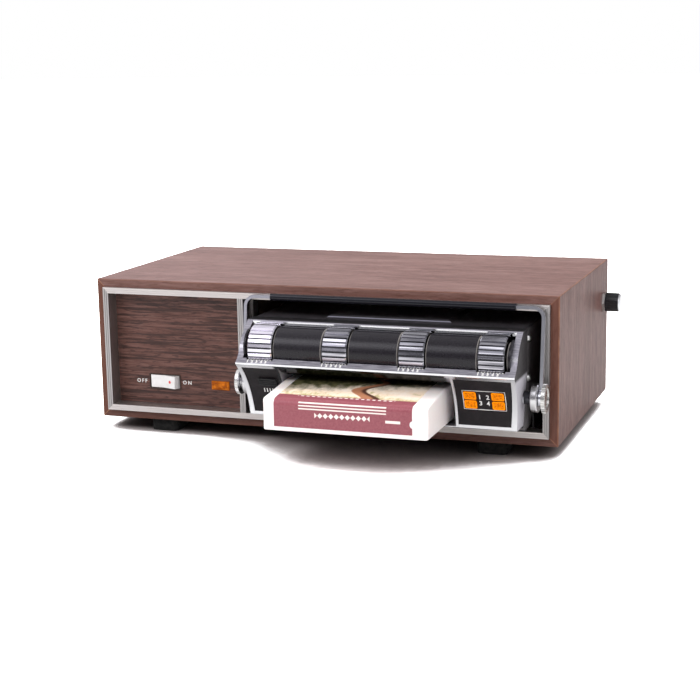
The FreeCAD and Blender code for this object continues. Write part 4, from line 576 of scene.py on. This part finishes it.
# ------------------------------------------------------------------ bezel and side panels
# A die-cast, chrome-plated bezel: bright in front, brushed satin on top, black paint behind the rim, and
# black on every face that points down. Its cheeks are painted with reflections, pale below the ledge and
# dark above it, with a painted highlight line near their back. Two black enamelled panels sit in its
# hollow front, with the channel numbers, marks and a line round the lenses.
lid_low, lid_high = (Vector(v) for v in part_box("cartridge_lid"))
bezel_low, bezel_high = (Vector(v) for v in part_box("front_bezel"))
ledge_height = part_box("right_fascia")[1][2]
mouth_mid, mouth_half = (lid_low.x + lid_high.x) / 2, (lid_high.x - lid_low.x) / 2
rim_back, black_paint, black_underside = corner.y - 18.8 * mm, (0.030, 0.028, 0.031), (0.035, 0.035, 0.038)
painted_pale_reflection, painted_dark_reflection, painted_edge_highlight = (0.54, 0.52, 0.56), (0.042, 0.038, 0.040), (0.75, 0.73, 0.75)
highlight_height, highlight_back, highlight_bow = ledge_height + 9.0 * mm, bezel_high.y - 4.2 * mm, -14.0

chrome, tree, shader, place = finish("bezel_chrome", 0.13, metallic=1.0)
parts = node(tree, "SeparateXYZ", Vector=place)
facing = node(tree, "SeparateXYZ", Vector=node(tree, "TexCoord").outputs["Normal"])
smear = speckle(tree, place, 45.0, 6.0, 0.6)
brushed = streaks(tree, place, (0.12, 1, 1), 1100.0, 5.0)
upward = between(tree, facing.outputs["Z"], 0.25, 0.45)
sideways = between(tree, maths(tree, "ABSOLUTE", facing.outputs["X"]), 0.75, 0.9)
above = between(tree, parts.outputs["Z"], ledge_height - 1.0 * mm, ledge_height + 1.0 * mm)
in_mouth = near(tree, parts.outputs["X"], mouth_mid, mouth_half + 4.0 * mm, mouth_half + 2.0 * mm)
# Black on every face that points down, and on faces turned down inside the mouth.
beneath = maths(tree, "MAXIMUM", between(tree, facing.outputs["Z"], -0.80, -0.92),
                maths(tree, "MULTIPLY", in_mouth, between(tree, facing.outputs["Z"], -0.25, -0.45)))
bright = ramp(tree, smear, (0.25, (0.72, 0.72, 0.74)), (0.75, (0.82, 0.82, 0.84)))
satin = ramp(tree, brushed, (0.35, (0.17, 0.16, 0.19)), (0.65, (0.33, 0.32, 0.36)))
# The painted highlight line is furthest back at mid height, and comes forward as the square of the height from there.
swell = maths(tree, "SUBTRACT", parts.outputs["Z"], highlight_height)
highlight_y = maths(tree, "MULTIPLY_ADD", maths(tree, "MULTIPLY", swell, swell), highlight_bow, highlight_back)
edge_highlight = near(tree, parts.outputs["Y"], highlight_y, 0.6 * mm, 0.35 * mm)
cheek = blend(tree, above, painted_pale_reflection, blend(tree, edge_highlight, painted_dark_reflection, painted_edge_highlight))
colour = blend(tree, sideways, blend(tree, upward, bright, satin), cheek)
painted = maths(tree, "MULTIPLY", upward, between(tree, parts.outputs["Y"], rim_back, rim_back + 0.8 * mm))
colour = blend(tree, painted, colour, black_paint)
paint(tree, shader, blend(tree, beneath, colour, black_underside))
dull = maths(tree, "MAXIMUM", maths(tree, "MULTIPLY", upward, 0.20), maths(tree, "MULTIPLY", sideways, 0.40))
tree.links.new(maths(tree, "ADD", dull, maths(tree, "MULTIPLY_ADD", smear, 0.10, 0.08)), shader.inputs["Roughness"])
plastic_like = maths(tree, "MAXIMUM", maths(tree, "MULTIPLY", sideways, 0.75), maths(tree, "MULTIPLY", upward, 0.60))
tree.links.new(maths(tree, "SUBTRACT", 1.0, plastic_like), shader.inputs["Metallic"])
bump(tree, shader, brushed, 0.006 * mm)
dress(chrome, "front_bezel")
dress(painted_steel("black_enamel", (0.011, 0.009, 0.010), 0.36, 0.14)[0], "left_fascia", "right_fascia")


def surface(name):
    """A node's mesh as a surface that a ray can meet."""
    mesh = nodes[name].data
    return BVHTree.FromPolygons([v.co for v in mesh.vertices], [p.vertices for p in mesh.polygons])


def face_profile(name, x, z0, z1, count=24):
    """How a node's front stands at one x: heights from z0 to z1 and the y that a ray from the front meets."""
    face = surface(name)
    heights = np.linspace(z0, z1, count)
    hits = [face.ray_cast(Vector((x, -1.0, z)), Vector((0.0, 1.0, 0.0)))[0] for z in heights]
    met = [(z, hit.y) for z, hit in zip(heights, hits) if hit]
    return np.array([z for z, _ in met]), np.array([y for _, y in met])


def ribbon(path, across, out, width, thick, closed=False):
    """A flat strip carried along a path: a corner is path + across * (-1 or 1) * width / 2 + out * (0 or
    1) * thick. Returns its points and faces."""
    path = np.asarray(path, float)
    across = np.broadcast_to(across, path.shape) * width / 2
    out = np.broadcast_to(out, path.shape) * thick
    ring = np.stack([path - across, path + across, path + across + out, path - across + out], axis=1)
    index = np.arange(len(path) * 4).reshape(-1, 4)
    a = index if closed else index[:-1]
    b = np.roll(index, -1, axis=0) if closed else index[1:]
    faces = np.stack([a, np.roll(a, -1, axis=1), np.roll(b, -1, axis=1), b], axis=-1).reshape(-1, 4)
    if not closed:
        faces = np.concatenate([faces, index[:1, ::-1], index[-1:]])
    return ring.reshape(-1, 3), faces


def strips(name, pieces, material, body):
    """One object from several ribbons, with its faces turned outwards, riding on a body."""
    starts = np.cumsum([0] + [len(ring) for ring, _ in pieces])
    faces = np.concatenate([sides + start for (_, sides), start in zip(pieces, starts)])
    mesh = bpy.data.meshes.new(name)
    mesh.from_pydata(np.concatenate([ring for ring, _ in pieces]).tolist(), [], faces.tolist())
    work = bmesh.new()
    work.from_mesh(mesh)
    bmesh.ops.recalc_face_normals(work, faces=work.faces)
    work.to_mesh(mesh)
    work.free()
    mesh.materials.append(material)
    made = put(name, mesh)
    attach(made, body)


panel_low, panel_high = (Vector(v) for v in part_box("right_fascia"))
panel_edge = 0.3 * mm
profile_z, profile_y = face_profile("right_fascia", lens_mid.x, panel_low.z + panel_edge, panel_high.z - panel_edge)


def panel_face(z):
    """The right panel's y at these heights."""
    return np.interp(z, profile_z, profile_y)


def on_fascia(foot):
    """The right panel's face, for print that stands at this height."""
    return lambda v: (panel_face(foot + v), foot + v)


def around_window(margin, per_side=9):
    """A rectangle round the four lenses, as points just off the panel's face, anticlockwise from the lower
    left: each side goes straight from one corner to the next in equal steps."""
    x0, x1 = lens_low.x - margin, lens_high.x + margin
    z0, z1 = lens_low.z - margin, lens_high.z + margin
    t = np.linspace(0.0, 1.0, per_side)[:-1]
    x = np.concatenate([x0 + (x1 - x0) * t, x1 + 0 * t, x1 + (x0 - x1) * t, x0 + 0 * t])
    z = np.concatenate([z0 + 0 * t, z0 + (z1 - z0) * t, z1 + 0 * t, z1 + (z0 - z1) * t])
    return np.stack([x, panel_face(z) - ink_proud, z], axis=1)


button_low, button_high = (Vector(v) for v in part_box("program_button"))
marks_foot, marks_top = button_low.z - 4.6 * mm, button_low.z - 2.0 * mm
mark_width, marks_reach = 0.55 * mm, 3.7 * mm
marks = []
for x in (button_low.x + button_high.x) / 2 + np.linspace(-marks_reach, marks_reach, 5):
    mark_z, mark_y = face_profile("left_fascia", x, marks_foot, marks_top, 5)
    line = np.stack([0.0 * mark_z + x, mark_y, mark_z], axis=1)
    marks.append(ribbon(line, (1.0, 0.0, 0.0), (0.0, -1.0, 0.0), mark_width, ink_proud))
strips("button_marks", marks, ink, "deck")

line_outside, line_inside = 0.55 * mm, 0.25 * mm
outer, inner = around_window(line_outside), around_window(line_inside)
across = (inner - outer) / np.linalg.norm(inner - outer, axis=1, keepdims=True)
line_width, line_thick = 0.42 * mm, 0.08 * mm
window_line = ribbon((outer + inner) / 2, across, (0.0, 1.0, 0.0), line_width, line_thick, closed=True)
strips("window_line", [window_line], ink, "deck")
digit_height = 2.9 * mm
for digit, (dx, dz) in zip("1234", ((-2.9, 0.75), (1.2, 0.75), (-3.2, -3.4), (1.1, -3.4))):
    lettering("digit_" + digit, digit, digit_height, lens_mid.x + dx * mm, on_fascia(lens_mid.z + dz * mm), "deck",
              weight=0.018)

# ------------------------------------------------------------------ thumbwheel barrel
# Ribbed wheels of chrome-plated plastic turn between satin black barrels on one rod; the first wheel is
# painted brighter than the others, as painted light. A white scale is printed on the ledge below each wheel.
wheels = [name + "_wheel" for name in ("volume", "balance", "bass", "treble")]
wheel_low, wheel_high = (Vector(v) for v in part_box(wheels[0]))
axle = (wheel_low + wheel_high) / 2
wheel_radius = (wheel_high.z - wheel_low.z) / 2
first_gap = (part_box(wheels[0])[1][0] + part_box(wheels[1])[0][0]) / 2
furrow_top, furrow_floor = wheel_radius - 0.55 * mm, wheel_radius - 0.9 * mm
first_wheel_painted_light, painted_furrow_shade, barrel_edge = (1.24, 1.22, 1.26), (0.10, 0.10, 0.11), (0.24, 0.22, 0.21)


def from_axis(tree, parts, y, z):
    """How far a point lies from an axis along x that stands at y and z."""
    return length(tree, maths(tree, "SUBTRACT", parts.outputs["Y"], y), maths(tree, "SUBTRACT", parts.outputs["Z"], z))


material, tree, shader, place = finish("wheel_chrome", 0.16, metallic=1.0)
parts = node(tree, "SeparateXYZ", Vector=place)
smear = speckle(tree, place, 80.0, 6.0, 0.6)
bright = ramp(tree, smear, (0.25, (0.56, 0.55, 0.58)), (0.75, (0.74, 0.73, 0.77)))
rib_tone = ramp(tree, streaks(tree, place, (0.04, 1.0, 1.0), 420.0, 2.0),
                (0.42, (0.34, 0.34, 0.36)), (0.58, (0.86, 0.86, 0.88)))
# Painted light: the first wheel's chrome is painted 1.24 times brighter, and the others are darkened by the rib
# streaks.
first = between(tree, parts.outputs["X"], first_gap + 1.0 * mm, first_gap - 1.0 * mm)
bright = blend(tree, 1.0, bright, blend(tree, first, rib_tone, first_wheel_painted_light), "MULTIPLY")
# Painted shade: the colour goes to near black down in the furrows between the ribs.
furrow_shade = between(tree, from_axis(tree, parts, axle.y, axle.z), furrow_top, furrow_floor)
paint(tree, shader, blend(tree, furrow_shade, bright, painted_furrow_shade))
tree.links.new(maths(tree, "MULTIPLY_ADD", smear, 0.12, 0.10), shader.inputs["Roughness"])
dress(material, *wheels)

material, tree, shader, place = finish("barrel_black", 0.20, specular=0.31)
grain = speckle(tree, place, 1500.0, 5.0)
parts = node(tree, "SeparateXYZ", Vector=place)
# The barrels end just short of each wheel. off_end is the distance to the nearest end, from a metre down.
edge_off_wheel, off_end = 0.95 * mm, 1.0
for wheel in wheels:
    for x in (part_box(wheel)[0][0] - edge_off_wheel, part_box(wheel)[1][0] + edge_off_wheel):
        off_end = maths(tree, "MINIMUM", off_end, off(tree, parts.outputs["X"], x))
satin_black = ramp(tree, grain, (0.35, (0.006, 0.005, 0.007)), (0.65, (0.014, 0.012, 0.016)))
paint(tree, shader, blend(tree, between(tree, off_end, 0.36 * mm, 0.20 * mm), satin_black, barrel_edge))
bump(tree, shader, grain, 0.06 * mm)
dress(material, "control_barrels")
worn_chrome = plated("worn_chrome", (0.70, 0.69, 0.67), 0.24, 120.0, 0.2)
dress(worn_chrome, "wheel_axle")

# The ledge's slope is measured with two rays from above; lift is square to it.
bezel = surface("front_bezel")
ledge_y = bezel_low.y + np.array([0.5, 2.3]) * mm
ledge_z = np.array([bezel.ray_cast(Vector((axle.x, y, 0.2)), Vector((0.0, 0.0, -1.0)))[0].z for y in ledge_y])
slope = np.array([0.0, ledge_y[1] - ledge_y[0], ledge_z[1] - ledge_z[0]])
slope = slope / np.hypot(slope[1], slope[2])
lift = np.array([0.0, -slope[2], slope[1]])
foot = np.array([0.0, ledge_y[0], ledge_z[0]])
tick_start, tick_length, tick_width, ticks_reach = 2.28 * mm, 0.42 * mm, 0.9 * mm, 7.2 * mm
number_height, numbers_left = 2.2 * mm, 7.6 * mm


def on_ledge(v):
    """The ledge's y and z at v up its slope from the front."""
    return foot[1] + slope[1] * v, foot[2] + slope[2] * v


for wheel in wheels:
    middle = (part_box(wheel)[0][0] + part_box(wheel)[1][0]) / 2
    ticks = []
    for offset in np.linspace(-ticks_reach, ticks_reach, 9):
        start = foot + np.array([middle + offset, 0.0, 0.0]) + slope * tick_start
        ticks.append(ribbon([start, start + slope * tick_length], (1.0, 0.0, 0.0), lift, tick_width, ink_proud))
    strips(wheel + "_scale", ticks, ink, "deck")
    lettering(wheel + "_numbers", "1 2 3 4 5", number_height, middle - numbers_left, on_ledge, "deck",
              spacing=1.35, weight=0.07)

# ------------------------------------------------------------------ handle and its knobs
# A bent strip of chromed steel with a black vinyl sleeve, held by knurled knobs over plated discs that
# are dark round the stud.
dress(plated("strap_chrome", (0.70, 0.70, 0.75), 0.14, 70.0, 0.10), "handle_strap")
dress(moulded("grip_vinyl", (0.006, 0.006, 0.010), 0.20, 500.0, 0.02 * mm), "handle_grip")
dress(worn_chrome, "left_thumb_knob", "right_thumb_knob")
disc_low, disc_high = (Vector(v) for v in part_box("spacer_discs"))
disc_mid, boss_radius, boss_black = (disc_low + disc_high) / 2, 4.4 * mm, (0.05, 0.05, 0.055)
material, tree, shader, place = finish("disc_chrome", 0.24, metallic=1.0)
parts = node(tree, "SeparateXYZ", Vector=place)
boss = between(tree, from_axis(tree, parts, disc_mid.y, disc_mid.z), boss_radius + 0.4 * mm, boss_radius)
smear = ramp(tree, speckle(tree, place, 120.0, 6.0, 0.6), (0.3, (0.50, 0.49, 0.50)), (0.7, (0.72, 0.71, 0.72)))
paint(tree, shader, blend(tree, boss, smear, boss_black))
dress(material, "spacer_discs")

# ------------------------------------------------------------------ tape drive
# Zinc-plated steel plates and a turned steel flywheel, small parts of brass and nylon. The belt and the
# pinch roller are the rubber of the feet.
dress(zinc, "guide_channel", "mech_plate", "drive_motor", "detent_arm", "solenoid_plunger")
dress(plated("turned_steel", (0.62, 0.61, 0.60), 0.22), "flywheel")
dress(plated("brass", (0.72, 0.52, 0.24), 0.25), "motor_pulley", "head_carriage")
dress(plated("head_metal", (0.66, 0.66, 0.68), 0.12), "tape_head")
dress(moulded("nylon", (0.72, 0.70, 0.64), 0.4), "step_cam")

# ------------------------------------------------------------------ cartridge
# A pale pink moulded shell in two halves. Its paper label is folded over the front edge: in front maroon
# with cream rules, lozenges, a bar and a row of dashes at the fold, and on top a field of olive and cream
# with a rust lane through it and a dark thicket at the back.
material, tree, shader, place = finish("pink_moulding", 0.34, coat=0.15, coat_roughness=0.2)
blush = speckle(tree, place, 60.0, 4.0)
paint(tree, shader, ramp(tree, blush, (0.3, (0.94, 0.85, 0.83)), (0.7, (0.98, 0.92, 0.90))))
shader.inputs["Subsurface Weight"].default_value = 0.15
shader.inputs["Subsurface Radius"].default_value = (0.003, 0.0015, 0.001)
bump(tree, shader, speckle(tree, place, 1600.0, 4.0), 0.03 * mm)
dress(material, "cartridge_base", "cartridge_lid")

label_low, label_high = (Vector(v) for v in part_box("cartridge_label"))
label_mid, label_wide = (label_low.x + label_high.x) / 2, label_high.x - label_low.x
cream_ink, fold_back = (0.86, 0.76, 0.70), 9.8 * mm
lane_rust, verge_brown = (0.46, 0.20, 0.11), (0.10, 0.045, 0.03)
lane_middle, lane_bend, lane_half = 0.60 * label_wide, 6.0 * mm, 7.0 * mm
thicket_near, thicket_far = 29.0 * mm, 42.0 * mm
rules_height, rule_pitch, rule_half = 13.4 * mm, 0.9 * mm, 27.0 * mm
lozenge_height, lozenge_pitch, lozenges_half = 8.0 * mm, 1.7 * mm, 17.0 * mm
bar_height, bar_right, bar_half = 7.0 * mm, 31.0 * mm, 4.5 * mm
dashes_back, dashes_half = 8.4 * mm, 30.0 * mm

material, tree, shader, place = finish("label_paper", 0.30, specular=0.35)
parts = node(tree, "SeparateXYZ", Vector=place)
back = maths(tree, "SUBTRACT", parts.outputs["Y"], label_low.y)
across = maths(tree, "SUBTRACT", parts.outputs["X"], label_low.x)
high = maths(tree, "SUBTRACT", parts.outputs["Z"], label_low.z)
off_mid = maths(tree, "SUBTRACT", parts.outputs["X"], label_mid)
width_in = maths(tree, "ABSOLUTE", off_mid)
maroon = ramp(tree, speckle(tree, place, 900.0, 5.0), (0.3, (0.242, 0.062, 0.080)), (0.7, (0.304, 0.088, 0.107)))

# The field's tone goes from near to far, broken by hills and tufts. The thicket stands where the distance
# back, less a share of the distance across, is large, with a ragged edge.
hills = maths(tree, "ADD", maths(tree, "MULTIPLY", back, 13.0), streaks(tree, place, (0.35, 1.0, 1.0), 60.0, 7.0, 0.8))
tufts = streaks(tree, place, (1.0, 0.5, 1.0), 420.0, 6.0)
field = maths(tree, "ADD", maths(tree, "MULTIPLY_ADD", hills, 0.62, -0.16), maths(tree, "MULTIPLY", tufts, 0.28))
meadow = ramp(tree, field, (0.34, (0.48, 0.42, 0.20)), (0.42, (0.95, 0.76, 0.58)), (0.54, (1.00, 0.87, 0.75)),
              (0.63, (0.90, 0.73, 0.53)), (0.72, (0.30, 0.27, 0.11)), (0.82, (0.035, 0.03, 0.02)))
thicket = maths(tree, "ADD", maths(tree, "MULTIPLY", streaks(tree, place, (1.0, 0.7, 1.0), 200.0, 7.0), 0.030),
                maths(tree, "MULTIPLY_ADD", across, -0.22, back))
leaves = ramp(tree, tufts, (0.40, (0.035, 0.036, 0.014)), (0.62, (0.16, 0.15, 0.07)))
meadow = blend(tree, between(tree, thicket, thicket_near, thicket_far), meadow, leaves)

# The lane bends as a sine of the distance back, narrows with it, and is dark along its right verge.
bend = maths(tree, "SINE", maths(tree, "MULTIPLY", back, 190.0))
lane = maths(tree, "SUBTRACT", across, maths(tree, "MULTIPLY_ADD", bend, lane_bend, lane_middle))
lane_edge = maths(tree, "MULTIPLY_ADD", back, -0.10, lane_half)
track = between(tree, maths(tree, "SUBTRACT", maths(tree, "ABSOLUTE", lane), lane_edge), 0.6 * mm, -0.6 * mm)
verge = between(tree, lane, 0.5 * mm, 2.5 * mm)
scenery = blend(tree, track, meadow, blend(tree, verge, lane_rust, verge_brown))

# Each printed shape is the product of a mask along it and a mask across it.
line_off = maths(tree, "PINGPONG", maths(tree, "SUBTRACT", high, rules_height), rule_pitch)
rules = maths(tree, "MULTIPLY", between(tree, width_in, rule_half + 0.2 * mm, rule_half - 0.2 * mm),
              between(tree, line_off, 0.50 * mm, 0.30 * mm))
rules = maths(tree, "MULTIPLY", rules, near(tree, high, rules_height, 2.4 * mm, 2.2 * mm))
wave = maths(tree, "PINGPONG", off_mid, lozenge_pitch)
lozenge = maths(tree, "ADD", wave, off(tree, high, lozenge_height))
lozenges = maths(tree, "MULTIPLY", between(tree, lozenge, 1.75 * mm, 1.45 * mm),
                 between(tree, width_in, lozenges_half + 0.1 * mm, lozenges_half - 0.1 * mm))
bar = maths(tree, "MULTIPLY", near(tree, off_mid, bar_right, bar_half + 0.1 * mm, bar_half - 0.1 * mm),
            near(tree, high, bar_height, 0.9 * mm, 0.7 * mm))
dashes = maths(tree, "MULTIPLY", between(tree, width_in, dashes_half + 0.1 * mm, dashes_half - 0.1 * mm),
               between(tree, wave, 1.1 * mm, 0.8 * mm))
dashes = maths(tree, "MULTIPLY", near(tree, back, dashes_back, 0.75 * mm, 0.55 * mm), dashes)
print_mask = maths(tree, "MAXIMUM", maths(tree, "MAXIMUM", rules, lozenges), maths(tree, "MAXIMUM", bar, dashes))
band = blend(tree, print_mask, maroon, cream_ink)
paint(tree, shader, blend(tree, between(tree, back, fold_back, fold_back + 0.3 * mm), band, scenery))
dress(material, "cartridge_label")

dress(moulded("reel_tape", (0.10, 0.06, 0.04), 0.3), "tape_reel")
